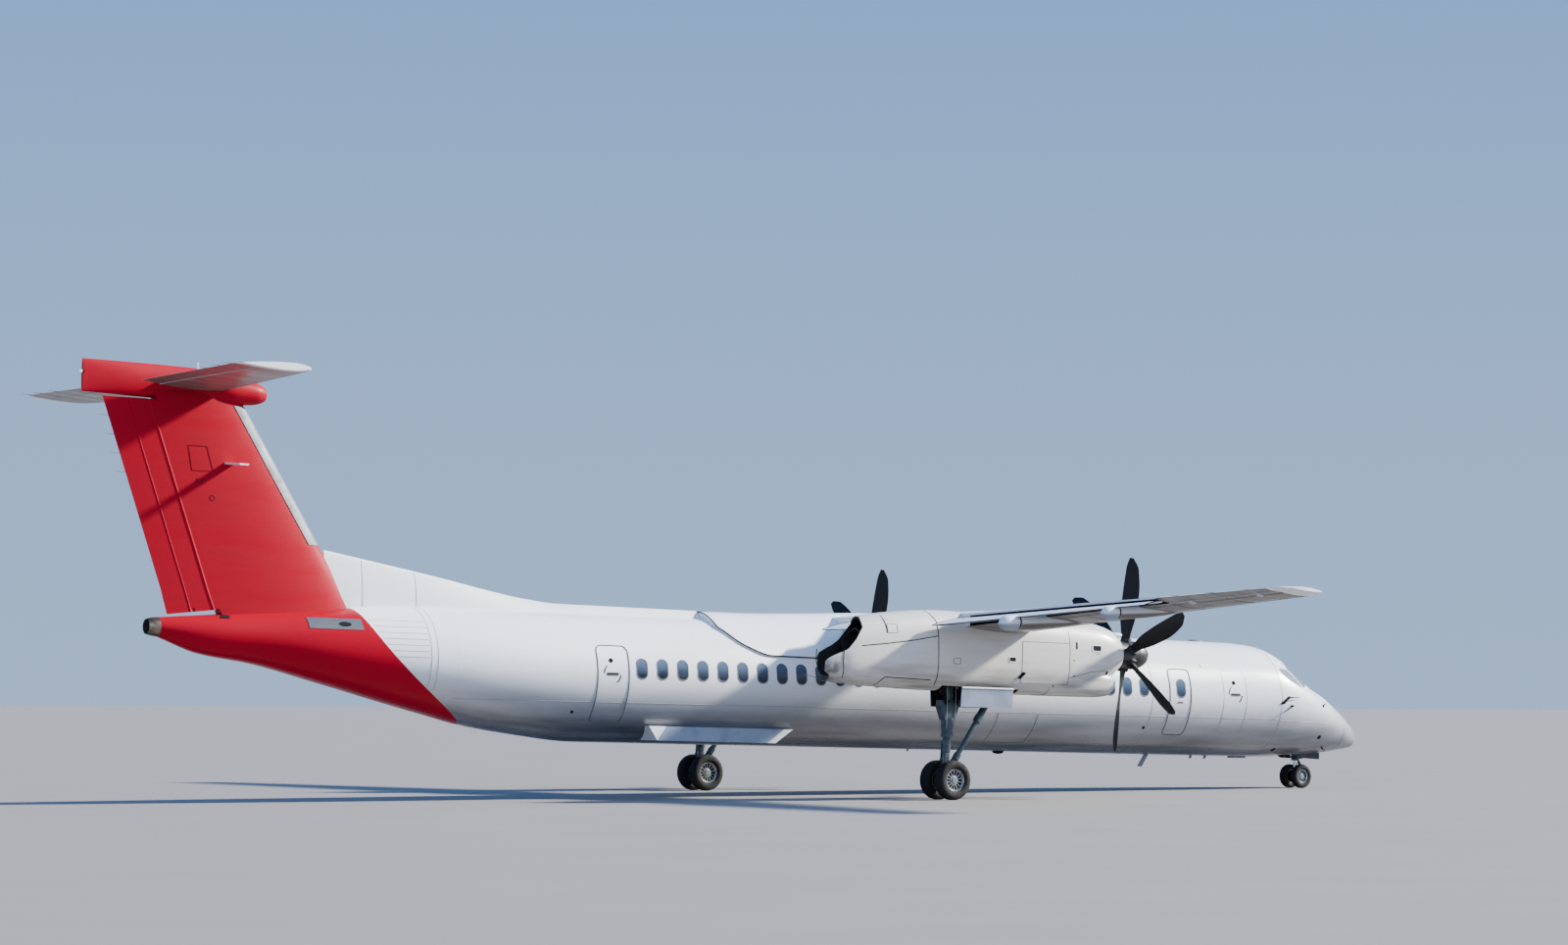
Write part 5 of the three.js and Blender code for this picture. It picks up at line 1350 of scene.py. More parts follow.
def build_tail():
    """Dorsal fin, fin, two-piece rudder, cap and stabiliser with its elevators."""
    rings = []
    for x in steps(DORSAL[0][0], DORSAL[-1][0], 40):
        _, top, half = eased(DORSAL, x)
        ring = []
        for i in range(17):
            t = i / 16 * math.pi
            rise = math.sin(t) ** 0.75
            ring.append((x, half * math.cos(t) * (1 - 0.62 * rise ** 2),
                         DORSAL_FOOT + (top - DORSAL_FOOT) * rise))
        rings.append(ring)
    Form().loft(rings).build("dorsal_fin_skin", "white")
    fixed = Form().loft([fin_ring(z, None, fin_hinge, 0, 0.008) for z in steps(3.15, FIN_TOP, 12)])
    gap_covers(fixed, fin_hinge, 0.020)
    fixed.build("fin_skin", "red")
    low, high = RUDDER_Z
    fore = [fin_ring(z, fin_hinge, fin_split, 0.020, 0.008) for z in steps(low, high, 10)]
    aft = [fin_ring(z, fin_split, None, 0.018) for z in steps(low, high, 10)]
    for rings in (fore, aft):
        rings[0] = [(x, y, 3.40 + 0.1215 * (x + 13.55)) for x, y, z in rings[0]]
    gap_covers(Form().loft(fore), fin_split, 0.018).build("rudder_skin", "red", body="fore_rudder")
    Form().loft(aft).build("rudder_trailing_skin", "red", body="aft_rudder")
    boot = [fin_ring(z, None, lambda z: fin_lead(z) - 0.27, 0, 0, 0.006) for z in steps(4.72, 7.30, 8)]
    Form().loft(boot).build("fin_boot", "grey")
    edges = [([fin_surface(side)(fin_lead(z) - 0.272, z, 0.004) for z in steps(4.72, 7.30, 8)], False)
             for side in (LEFT, RIGHT)]
    beads("fin_boot_edges", edges, 0.006, "seam")
    fixed = Form().loft([stab_ring(y, "fixed") for y in steps(-4.47, 4.47, 16)])
    fixed.build("stabiliser_skin", "tailplane")
    for name, side in SIDES:
        flip = side < 0
        elevator = Form().loft([stab_ring(y, "elevator") for y in steps(0.25, 4.45, 8)])
        elevator.build(f"elevator_{name}_skin", "tailplane", body=f"{name}_elevator", flip=flip)
        tip = Form().loft([stab_ring(y, "whole") for y in (4.47, 4.53, 4.59, 4.635)])
        tip.build(f"stabiliser_tip_{name}", "white", flip=flip)
        boot = Form().loft([stab_ring(y, "boot", 0.004) for y in steps(0.5, 4.4, 8)])
        boot.build(f"stabiliser_boot_{name}", "boot", flip=flip)
    rings = []
    for x in steps(CAP[0][0], CAP[-1][0], 70):
        _, top, bottom, half = eased(CAP, x)
        middle, high = (top + bottom) / 2, (top - bottom) / 2
        rings.append([(x, half * math.cos(TAU * i / 40), middle + high * math.sin(TAU * i / 40))
                      for i in range(40)])
    Form().loft(rings).build("fin_cap_skin", "red")


# Nacelles: x, top, bottom, half width, squareness
NACELLE = [
    (-3.060, 3.300, 2.470, 0.330, 2.4),
    (-2.000, 3.590, 2.300, 0.500, 2.8),
    (-1.000, 3.760, 2.250, 0.550, 3.0),
    (0.300, 3.850, 2.215, 0.565, 3.1),
    (2.000, 3.800, 2.185, 0.565, 3.1),
    (3.300, 3.775, 2.200, 0.560, 2.9),
    (4.300, 3.740, 2.420, 0.530, 2.5),
    (4.920, 3.590, 2.640, 0.455, 2.2),
    (5.070, 3.470, 2.740, 0.360, 2.0),
]
# Chin of the intake below the shaft, and the hollow of its mouth, in the same columns
CHIN = [
    (3.000, 2.900, 2.185, 0.480, 2.8),
    (4.500, 2.790, 2.190, 0.420, 2.5),
    (4.840, 2.720, 2.230, 0.360, 2.4),
    (4.900, 2.640, 2.330, 0.300, 2.4),
]
MOUTH = [
    (4.050, 2.640, 2.470, 0.200, 2.4),
    (4.640, 2.600, 2.400, 0.230, 2.4),
    (5.040, 2.600, 2.370, 0.260, 2.4),
]
# Cut of the exhaust mouth on the outboard flank, as x and z
PIPE_MOUTH = [(-1.78, 4.00), (-1.92, 3.56), (-1.92, 3.38), (-2.08, 3.15), (-2.28, 2.95), (-2.66, 2.79),
              (-2.80, 2.70), (-2.80, 2.52), (-2.64, 2.40), (-2.64, 2.30), (-3.40, 2.30), (-3.40, 4.00)]
# The same mouth on the inboard flank, which ends further forward
PIPE_MOUTH_IN = [(-1.40, 4.00), (-1.47, 3.56), (-1.58, 3.38), (-1.75, 3.18), (-1.95, 3.06), (-2.20, 2.94),
                 (-2.26, 2.86), (-2.26, 2.57), (-2.20, 2.40), (-2.20, 2.30), (-3.40, 2.30), (-3.40, 4.00)]
# Wheel bay under a nacelle: x0, x1, half width
BAY = (0.20, 2.20, 0.40)
# Jet pipe: x, top, bottom, half width, squareness
PIPE_WALL = 0.02
PIPE = [
    (-1.800, 3.420, 2.760, 0.340, 2.2),
    (-1.000, 3.330, 2.800, 0.290, 2.1),
    (1.000, 3.260, 2.740, 0.260, 2.0),
    (2.150, 3.240, 2.700, 0.270, 2.0),
]


def square_point(row, y, angle, wall=0.0):
    """A point of a rounded square section, with the wall's thickness taken off."""
    x, top, bottom, half, power = row

    def bend(v):
        return math.copysign(abs(v) ** (2 / power), v)
    return (x, y + (half - wall) * bend(math.cos(angle)),
            (top + bottom) / 2 + ((top - bottom) / 2 - wall) * bend(math.sin(angle)))


def square_rings(table, y, wall=0.0, count=40, around=64):
    rows = [eased(table, x) for x in steps(table[0][0], table[-1][0], count)]
    return [[square_point(row, y, TAU * i / around, wall) for i in range(around)] for row in rows]


def nacelle_flank(side, face):
    """Place on the outboard (face 1) or inboard (face -1) flank of a nacelle: x, height and lift outwards."""
    def at(x, z, lift):
        row = eased(NACELLE, x)
        middle, high = (row[1] + row[2]) / 2, (row[1] - row[2]) / 2
        s = clamp(abs(z - middle) / high, 0, 1) ** (row[4] / 2)
        angle = math.copysign(math.asin(s), z - middle)
        px, py, pz = square_point(row, 0, angle, -lift)
        return (px, side * (ENGINE_Y + face * py), pz)
    return at


def mouth_cutter(side):
    """The exhaust mouth's cut, which slants forward from the outboard to the inboard flank."""
    rings = []
    for out in (-0.8, 0.8):
        share = (0.55 - out) / 1.1
        rings.append([(xo + (xi - xo) * share, side * (ENGINE_Y + out), z + (zi - z) * share)
                      for (xo, z), (xi, zi) in zip(PIPE_MOUTH, PIPE_MOUTH_IN)])
    return Form().loft(rings).build("mouth", "soot", body=None)


def build_nacelles():
    """Nacelle shells with their intake and jet pipe openings, joints, vents and hatches."""
    for name, side in SIDES:
        y = side * ENGINE_Y
        shell = Form().loft(square_rings(NACELLE, y)).build(f"nacelle_{name}_skin", "nacelle")
        chin = Form().loft(square_rings(CHIN, y, count=16)).build("chin", "nacelle", body=None)
        carve(shell, chin, way="UNION")
        # The wheel bay's walls take the dark primer: painted shade inside the bay
        bay = block("bay", (BAY[0], y - BAY[2], 2.0), (BAY[1], y + BAY[2], 2.6), "primer")
        inner = square_rings(NACELLE, y, NACELLE_WALL, around=48)
        inner[0] = [(px - 0.05, py, pz) for px, py, pz in inner[0]]
        inner[-1] = [(px + 0.05, py, pz) for px, py, pz in inner[-1]]
        hollow = Form().loft(inner).build("hollow", "soot", body=None)
        throat = Form().loft(square_rings(MOUTH, y, count=8, around=48)).build("throat", "soot", body=None)
        carve(shell, mouth_cutter(side), bay, hollow, throat, sharp=40)
        inside = [(x, top - PIPE_WALL, bottom + PIPE_WALL, half - PIPE_WALL, power)
                  for x, top, bottom, half, power in PIPE]
        bore = square_rings(inside, y, count=20, around=48)
        pipe = Form().loft(bore[::-1] + square_rings(PIPE, y, count=20, around=48))
        carve(pipe.build(f"jet_pipe_{name}_skin", "soot"), mouth_cutter(side), sharp=40)
        build_nacelle_details(name, side)


# Joints of the cowls on a flank, as lines of x, z pairs
COWL_SEAMS = [
    [(-1.90, 3.055), (-1.31, 3.118), (-0.64, 3.204), (-0.05, 3.307)],
    [(-1.33, 3.670), (-1.295, 3.325)],
    [(-0.178, 3.807), (-0.054, 3.622), (-0.03, 3.307), (-0.008, 2.33)],
    [(-2.32, 2.98), (-2.33, 2.73), (-2.255, 2.41)],
    [(-1.41, 2.29), (-1.30, 2.45), (-0.15, 2.42)],
]
COWL_FINE_SEAMS = [
    [(-2.82, 2.47), (-1.93, 2.28)],
    [(3.43, 2.554), (4.07, 2.703), (4.54, 2.749)],
    [(2.16, 3.275), (3.435, 3.275)],
    [(2.16, 2.425), (3.435, 2.425)],
    [(2.16, 3.275), (2.16, 2.425)],
    [(3.435, 3.55), (3.435, 2.425)],
]
# Vents, slots and latches of a flank: x0, x1, z0, z1, and whether a pale frame runs round it
COWL_VENTS = [
    (4.07, 4.30, 3.147, 3.243, True),
    (1.82, 1.98, 2.862, 2.930, True),
    (3.60, 3.645, 3.163, 3.306, False),
    (4.20, 4.26, 3.08, 3.092, False),
    (3.05, 3.09, 2.37, 2.395, False),
    (3.52, 3.58, 2.92, 2.932, False),
    (3.545, 3.605, 2.604, 2.616, False),
]


COWL_HATCHES = [(-1.284, -1.043, 3.334, 3.513), (0.37, 0.55, 2.76, 2.88)]
# Slanted scoop low on a flank: x, z and height of its corners
COWL_SCOOP = [(2.23, 2.65, 0.06), (2.18, 2.65, 0.05), (2.07, 2.515, 0.01), (2.13, 2.515, 0.02)]
# Round port under the shoulder: x, z, radius, and how much wider its rim is
COWL_PORT = (4.55, 2.70, 0.045, 1.3)
# Air scoop on the outboard shoulder: x, distance from the shaft, height, half width, half height
SHOULDER_SCOOP = [
    (4.66, 0.27, 3.49, 0.020, 0.020),
    (4.80, 0.29, 3.50, 0.065, 0.045),
    (4.96, 0.29, 3.50, 0.075, 0.055),
    (5.01, 0.29, 3.50, 0.070, 0.050),
]


def build_nacelle_details(name, side):
    """Joints, hatches, vents and scoops of one nacelle."""
    lines, fine, vents = [], [], Form()
    for face in (1, -1):
        at = nacelle_flank(side, face)
        for paths, out in ((COWL_SEAMS, lines), (COWL_FINE_SEAMS, fine)):
            out += [([at(x, z, 0.0) for x, z in dense(path, closed=False)], False) for path in paths]
        for hatch in COWL_HATCHES:
            fine.append(([at(x, z, 0.0) for x, z in dense(rounded(*hatch, 0.02))], True))
        for x0, x1, z0, z1, framed in COWL_VENTS:
            outline = rounded(x0, x1, z0, z1, min(x1 - x0, z1 - z0) * 0.3, 3)
            vents.patch(at, outline, -0.002, 0.005, rings=2)
            if framed:
                rim = rounded(x0 - 0.02, x1 + 0.02, z0 - 0.02, z1 + 0.02, 0.03, 3)
                vents.hoop(at, rim, 0.84, -0.002, 0.009, 1)
        vents.loft([[at(x, z, 0.0) for x, z, _ in COWL_SCOOP], [at(*corner) for corner in COWL_SCOOP]])
        x, z, radius, wider = COWL_PORT
        vents.patch(at, ellipse(x, z, radius, radius), -0.002, 0.004, rings=2)
        vents.hoop(at, ellipse(x, z, radius * wider, radius * wider), 0.8, -0.002, 0.008, 1)
    beads(f"nacelle_joints_{name}", lines, 0.010, "gap")
    beads(f"nacelle_fine_joints_{name}", fine, 0.006, "seam")
    vents.build(f"nacelle_vents_{name}", "gap white")
    scoop = Form().loft([[(x, side * out, z) for out, z in ellipse(ENGINE_Y + away, rise, half_w, half_h, 20)]
                         for x, away, rise, half_w, half_h in SHOULDER_SCOOP])
    scoop.build(f"nacelle_shoulder_scoop_{name}", "white")


# Blade rows: share of the radius, chord, thickness share, pitch in degrees, sweep back
BLADE = [
    (0.13, 0.170, 0.90, 52, 0.000),
    (0.22, 0.210, 0.50, 48, 0.000),
    (0.40, 0.330, 0.16, 38, 0.010),
    (0.65, 0.370, 0.08, 28, 0.020),
    (0.90, 0.290, 0.06, 22, -0.015),
    (1.00, 0.090, 0.06, 20, -0.080),
]
FIRST_BLADE = {"left": 12, "right": 8.6}


# Turned shapes on the shaft: distance ahead of the blades, radius. The hub's socket takes the shaft's end
HUB_PROFILE = [(-0.18, 0.0), (-0.18, 0.113), (-0.28, 0.113), (-0.28, 0.285), (-0.265, HUB_R), (0.185, HUB_R),
               (0.19, 0.0)]
DOME = [
    (0.1903, 0.300),
    (0.310, 0.283),
    (0.430, 0.235),
    (0.540, 0.150),
    (0.605, 0.062),
    (0.620, 0.000),
]


def blade_rings():
    """Rings of one blade, which stands upright on its shaft."""
    rings = []
    for share in steps(BLADE[0][0], BLADE[-1][0], 28):
        _, chord, thickness, pitch, sweep = eased(BLADE, share)
        angle = math.radians(pitch)
        ring = []
        for s, t in section(thickness, 0, 1, 12):
            across, up = (0.42 - s) * chord + sweep, t * chord
            ring.append((across * math.sin(angle) + up * math.cos(angle),
                         up * math.sin(angle) - across * math.cos(angle), share * PROP_R))
        rings.append(ring)
    return rings


def build_propellers():
    """Hubs, spinners and six swept blades, copied round each shaft."""
    root, tip = DOME[0][0], DOME[-1][0]
    dome_rows = [eased(DOME, root + (tip - root) * math.sin(math.pi / 2 * i / 24)) for i in range(25)]
    for name, side in SIDES:
        centre = (PROP_X, side * ENGINE_Y, PROP_Z)
        body = f"propeller_unit_{name}"
        spots = [(centre, (math.radians(FIRST_BLADE[name] + i * 360 / BLADES), 0, 0)) for i in range(BLADES)]
        copies(f"blades_{name}", Form().loft(blade_rings()), spots, "blade", body=body,
               stands_for=f"propeller_{name}")
        cuff = Form().bar((0, 0, HUB_R - 0.02), (0, 0, HUB_R + 0.045), 0.125, 0.110, 32)
        copies(f"blade_cuffs_{name}", cuff, spots, "rubber", body=body)
        hub = Form().spin(HUB_PROFILE, centre, "x", 64)
        hub.build(f"hub_{name}", "spinner", body=body)
        dome = Form().spin([(root, 0.0)] + dome_rows, centre, "x", 64)
        dome.build(f"spinner_{name}_skin", "spinner", body=body)


# Landing gear, level with the ground. The axles lie one tyre radius above it.
MAIN_X = 0.652
MAIN_TYRE_R = 0.400
NOSE_X_WHEEL = 14.592
NOSE_TYRE_R = 0.275


def tyre_form(centre, radius, width, rim):
    """A tyre with a round shoulder and four tread grooves."""
    half = width / 2
    # Sidewall: share of the half width, share of the height from the rim to the tread
    wall = ((0.72, 0), (0.90, 0.12), (1, 0.45), (0.96, 0.72), (0.82, 0.92))
    side = [(-half * out, rim + (radius - rim) * up) for out, up in wall]
    crown = []
    for groove in (-0.52, -0.18, 0.18, 0.52):
        for step, drop in ((-0.035, 0), (-0.03, 0.012), (0.03, 0.012), (0.035, 0)):
            u = groove + step
            crown.append((half * u, radius * (1 - 0.018 * u * u) - drop))
    profile = side + [(-half * 0.68, radius * 0.985)] + crown + [(half * 0.68, radius * 0.985)]
    profile += [(-a, r) for a, r in reversed(side)]
    return Form().spin(profile + [profile[0]], centre, "y", 96)


# Turned sections of a rim, its disc and its back, in shares of the rim's half width and of its radius
RIM_RING = ((1, 1), (1.06, 1.03), (1.08, 0.97), (0.8, 0.86), (0.3, 0.84), (-1, 0.9), (-1, 1), (1, 1))
RIM_DISC = ((0.1, 0), (0.1, 0.50), (0.62, 0.46), (0.70, 0.30), (0.9, 0.27), (0.95, 0))
RIM_BACK = ((-0.9, 0.88), (-0.9, 0))


def wheel_forms(centre, twin, rim, width, slots):
    """Rims on a shared axle, with the places of the spokes on their discs."""
    x, y, z = centre
    form = Form()
    spokes = []
    half = width * 0.36
    for way in (1, -1):
        for profile, sides, finish in ((RIM_RING, 72, 0), (RIM_DISC, 48, 0), (RIM_BACK, 48, 1)):
            form.spin([(way * half * out, rim * up) for out, up in profile], (x, y + way * twin, z), "y",
                      sides, finish)
        spokes += [((x, y + way * (twin + half * 0.48), z), (0, TAU * i / slots, 0)) for i in range(slots)]
    form.bar((x, y - twin, z), (x, y + twin, z), rim * 0.26, sides=32)
    return form, spokes


# Wheel pairs: half distance of the tyres, tyre radius and width, tyre bore, rim radius, spokes,
# half depth of a spoke, and the spoke's rows of half width and radius
MAIN_PAIR = (0.24, MAIN_TYRE_R, 0.250, 0.2243, 0.224, 14, 0.012,
             ((0.009, 0.085), (0.011, 0.140), (0.016, 0.192)))
NOSE_PAIR = (0.19, NOSE_TYRE_R, 0.165, 0.1543, 0.154, 10, 0.008,
             ((0.008, 0.058), (0.009, 0.095), (0.013, 0.132)))


def wheel_pair(pair, x, y, body, label, solid, tyres):
    """Two tyres on slotted rims round one axle. Tyres: the solid, the piece that stands for it, way in y."""
    twin, radius, width, bore, rim, slots, deep, rows = pair
    for tyre_solid, tyre, way in tyres:
        form = tyre_form((x, y + twin * way, radius), radius, width, bore)
        form.build(tyre, "tyre", body=body, stands_for=tyre_solid, level=False, sharp=40)
    form, spokes = wheel_forms((x, y, radius), twin, rim, width, slots)
    form.build(f"{label}_rims", "alloy gap", body=body, stands_for=solid, level=False)
    spoke = Form().loft([[(-w, -deep, r), (w, -deep, r), (w, deep, r), (-w, deep, r)] for w, r in rows])
    copies(f"{label}_spokes", spoke, spokes, "alloy", body=body, level=False)


def build_wheels():
    """Tyres, slotted rims and their axles."""
    for name, side in SIDES:
        tyres = [(f"main_tyre_{name}_{where}", f"tyre_{name}_{where}_skin", way * side)
                 for where, way in (("inner", -1), ("outer", 1))]
        wheel_pair(MAIN_PAIR, MAIN_X, side * ENGINE_Y, f"main_wheel_set_{name}", f"wheels_{name}",
                   f"main_wheels_{name}", tyres)
    tyres = [(f"nose_tyre_{name}", f"nose_tyre_{name}_skin", side) for name, side in SIDES]
    wheel_pair(NOSE_PAIR, NOSE_X_WHEEL, 0.0, "nose_wheel_set", "nose_wheels", "nose_wheels", tyres)


# Main leg. Plates of the yoke, its block and the torque links, as corners in x and z
YOKE_PLATES = [
    [(0.43, 2.30), (0.50, 2.34), (0.66, 1.98), (0.58, 1.92)],
    [(1.03, 2.30), (0.95, 2.34), (0.80, 1.98), (0.88, 1.92)],
    [(0.43, 2.28), (1.03, 2.28), (0.95, 2.62), (0.57, 2.62)],
]
YOKE_BLOCK = [(0.50, 2.02), (0.96, 2.02), (0.93, 1.88), (0.84, 1.62), (0.58, 1.62), (0.48, 1.88)]
TORQUE_LINKS = [
    [(0.58, 1.16), (0.64, 1.20), (0.59, 0.82), (0.55, 0.82)],
    [(0.55, 0.82), (0.59, 0.83), (0.63, 0.54), (0.59, 0.48)],
]
# Upright bars: x and z of the top, x and z of the foot, radius, sides, finish
LEG_BARS = [
    (0.740, 2.45, 0.712, 1.70, 0.090, 32, 0),
    (0.712, 1.66, 0.704, 1.45, 0.133, 32, 0),
    (0.704, 1.46, 0.698, 1.29, 0.122, 32, 0),
    (0.698, 1.32, 0.697, 1.27, 0.133, 32, 0),
    (0.697, 1.30, 0.680, 0.95, 0.085, 32, 0),
    (0.680, 0.97, 0.660, 0.56, 0.070, 32, 1),
    (0.660, 0.62, 0.653, 0.30, 0.095, 24, 0),
]
# Bars of the drag brace: x and z of one end, x and z of the other, radius
BRACE_BARS = [
    (0.93, 0.856, 1.62, 1.800, 0.055),
    (1.50, 1.636, 2.08, 2.430, 0.072),
    (0.90, 0.815, 0.98, 0.924, 0.075),
    (1.46, 1.581, 1.54, 1.691, 0.085),
]
# Hoses and pipes: distance in y from the leg, x
BRAKE_HOSES = ((0.10, 0.58), (-0.10, 0.60), (0.10, 0.72), (-0.10, 0.70))
LEG_PIPES = ((0.12, 0.62), (0.12, 0.84), (-0.12, 0.62), (-0.12, 0.84))


def build_main_gear():
    """Main legs with their yoke, cylinder, piston, torque links, hoses and drag braces."""
    for name, side in SIDES:
        y = side * ENGINE_Y
        leg = Form()
        leg.bar((0.76, y - 0.49, 2.62), (0.76, y + 0.49, 2.62), 0.07, sides=24)
        for dy in (-0.10, 0.10):
            for plate in YOKE_PLATES:
                leg.prism(plate, y + dy - 0.02, y + dy + 0.02, 2)
        leg.prism(YOKE_BLOCK, y - 0.10, y + 0.10)
        for x0, z0, x1, z1, radius, sides, finish in LEG_BARS:
            leg.bar((x0, y, z0), (x1, y, z1), radius, sides=sides, finish=finish)
        leg.bar((MAIN_X, y - 0.095, MAIN_TYRE_R), (MAIN_X, y + 0.095, MAIN_TYRE_R), 0.12, sides=32)
        leg.box((MAIN_X - 0.06, y - 0.06, 0.26), (MAIN_X + 0.06, y + 0.06, MAIN_TYRE_R))
        for dy in (-0.03, 0.03):
            for link in TORQUE_LINKS:
                leg.prism(link, y + dy - 0.012, y + dy + 0.012)
        leg.bar((0.57, y - 0.06, 0.82), (0.57, y + 0.06, 0.82), 0.020)
        leg.box((0.57, y - 0.04, 1.12), (0.65, y + 0.04, 1.20))
        leg.bar((MAIN_X + 0.01, y, 0.64), (0.915, y, 0.83), 0.06)
        leg.build(f"main_leg_{name}_skin", "gear piston gap", level=False)
        brace = Form()
        for x0, z0, x1, z1, radius in BRACE_BARS:
            brace.bar((x0, y, z0), (x1, y, z1), radius, sides=24)
        brace.bar((2.08, y - 0.48, 2.43), (2.08, y + 0.48, 2.43), 0.07, sides=24)
        brace.build(f"drag_brace_{name}_skin", "gear", level=False)
        hoses = [([(x + 0.05 * math.sin(TAU * t), y + dy + 0.03 * math.sin(math.pi * t), 0.70 - 0.26 * t)
                   for t in steps(0, 1, 14)], False) for dy, x in BRAKE_HOSES]
        beads(f"brake_hoses_{name}", hoses, 0.010, "hose", level=False)
        pipes = [([(x - back, y + dy, z) for back, z in ((0, 2.35), (0.01, 1.9), (0.03, 1.45))], False)
                 for dy, x in LEG_PIPES]
        beads(f"main_leg_pipes_{name}", pipes, 0.008, "boot", level=False)
        build_main_doors(name, side)


# Main doors: x0, x1, z0, z1, distance from the leg
MAIN_DOOR = (0.62, 1.96, 1.90, 2.30, 0.50)


def build_main_doors(name, side):
    """The doors beside a main leg: a plate with a rolled upper edge and a stiffened inner face. The plate is
    painted blue-grey as sky-lit shade, and its inner face near-black as painted shade.
    """
    x0, x1, z0, z1, out = MAIN_DOOR
    for where, way in (("inner", -side), ("outer", side)):
        def at(x, z, lift, way=way):
            lean = 0.05 * ((z1 - z) / (z1 - z0)) ** 1.5 - 0.04 * max(0, (z - 2.17) / 0.13) ** 2
            return (x, side * ENGINE_Y + way * (out + 0.012 - lean * 0.5 + lift), z)
        door = Form().sheet(at, steps(x0, x1, 8), steps(z0, z1, 10), -0.008, 0.012)
        # The inner face and its stiffeners are near-black: painted shade
        door.sheet(at, steps(x0 + 0.01, x1 - 0.01, 8), steps(z0 + 0.01, z1, 10), -0.012, -0.007, 1)
        stiff_y = side * ENGINE_Y + way * (out - 0.035)
        for x in steps(x0 + 0.12, x1 - 0.12, 4):
            door.box((x - 0.012, stiff_y - 0.01, z0 + 0.05), (x + 0.012, stiff_y + 0.01, z1 - 0.06), 1)
        door.bar(at(x0, z1 - 0.01, 0.004), at(x1, z1 - 0.01, 0.004), 0.018, sides=12, finish=2)
        door.build(f"main_door_{name}_{where}_skin", "door gap white")


# Nose gear: corners of the torque link, from the wheels' x, and of a door
NOSE_LINK = [(0.07, 0.69), (0.19, 0.52), (0.06, 0.33), (0.03, 0.38), (0.14, 0.52), (0.05, 0.645)]
NOSE_DOOR = [(14.12, 1.16), (15.06, 1.16), (15.06, 1.00), (14.36, 1.02)]
NOSE_DOOR_Y = 0.2897
NOSE_DOOR_RIB_Y = 0.262
# Half length of the pins that the leg and its brace turn on, and place of the lamps
NOSE_PIN_Y = 0.2997
LAMP_Y, LAMP_Z = 0.16, 0.80


def build_nose_gear():
    """Nose leg, steering cuff, links, tow lug, lamps and the doors beside it."""
    x = NOSE_X_WHEEL
    leg = Form()
    for cx, cz in ((x, 1.33), (x - 0.56, 1.30)):
        leg.bar((cx, -NOSE_PIN_Y, cz), (cx, NOSE_PIN_Y, cz), 0.045)
    leg.bar((x, 0, 1.38), (x, 0, 0.86), 0.072, sides=32)
    leg.bar((x, 0, 0.90), (x, 0, 0.72), 0.086, sides=32)
    for dy in (-0.06, 0.06):
        leg.bar((x - 0.56, dy * 2.2, 1.30), (x - 0.02, dy, 0.86), 0.028)
    for y in (-LAMP_Y, LAMP_Y):
        leg.bar((x - 0.10, y, LAMP_Z), (x + 0.02, y, LAMP_Z), 0.036)
    leg.bar((x - 0.04, -LAMP_Y, LAMP_Z), (x - 0.04, LAMP_Y, LAMP_Z), 0.018)
    leg.build("nose_leg_skin", "gear", level=False)
    turn = Form()
    turn.bar((x, 0, 0.7197), (x, 0, 0.64), 0.095, sides=32)
    turn.bar((x, 0, 0.65), (x, 0, 0.36), 0.052, sides=32, finish=1)
    turn.bar((x, 0, 0.38), (x, 0, 0.24), 0.066, sides=32)
    turn.bar((x, -0.08, NOSE_TYRE_R), (x, 0.08, NOSE_TYRE_R), 0.075, sides=32)
    turn.prism([(x + dx, z) for dx, z in NOSE_LINK], -0.03, 0.03)
    turn.box((x + 0.04, -0.045, 0.235), (x + 0.13, 0.045, 0.315))
    turn.box((x - 0.045, -0.045, 0.18), (x + 0.045, 0.045, NOSE_TYRE_R))
    turn.build("nose_steering_skin", "gear chrome", body="nose_gear_steering", level=False)
    lamps = Form()
    for y in (-LAMP_Y, LAMP_Y):
        lamps.spin([(0.021, 0.0), (0.021, 0.045), (0.055, 0.055), (0.06, 0.05), (0.062, 0.0)],
                   (x, y, LAMP_Z), "x", 24)
    lamps.build("taxi_lamps", "clear_lens", level=False)
    for name, side in SIDES:
        def at(u, v, lift, side=side):
            return (u, side * (NOSE_DOOR_Y + lift), v)
        # The doors are dark primer outside as well: painted shade
        door = Form().loft([[at(u, v, lift) for u, v in NOSE_DOOR] for lift in (-0.0095, 0.0095)])
        for u in steps(14.42, 14.96, 3):
            rib = side * NOSE_DOOR_RIB_Y
            door.box((u - 0.01, rib - 0.018, 1.02), (u + 0.01, rib + 0.018, 1.14), 1)
        door.build(f"nose_door_{name}_skin", "primer gap")


# Tail fittings: corners of a vent of the cone, and of the panels in the fin and rudder, as x and z
CONE_VENT = [(-13.70, 3.22), (-13.52, 3.22), (-13.46, 3.28), (-13.64, 3.285)]
FIN_PANELS = [
    [(-13.90, 6.01), (-14.33, 6.01), (-14.43, 6.48), (-14.05, 6.48)],
    [(-14.10, 5.77), (-14.22, 5.77), (-14.23, 5.85), (-14.12, 5.85)],
    ellipse(-13.89, 5.51, 0.05, 0.05),
]
# Lamp arms: the section round its middle, and the x, distance in y and height of both ends
ARM_SECTION = ((-0.09, -0.015), (0.09, -0.015), (0.10, 0.015), (-0.10, 0.02))
ARM_ENDS = ((-13.573, 0.13, 6.18), (-13.527, 0.72, 6.142))
TAIL_LAMP = (-16.60, 0, 7.74)


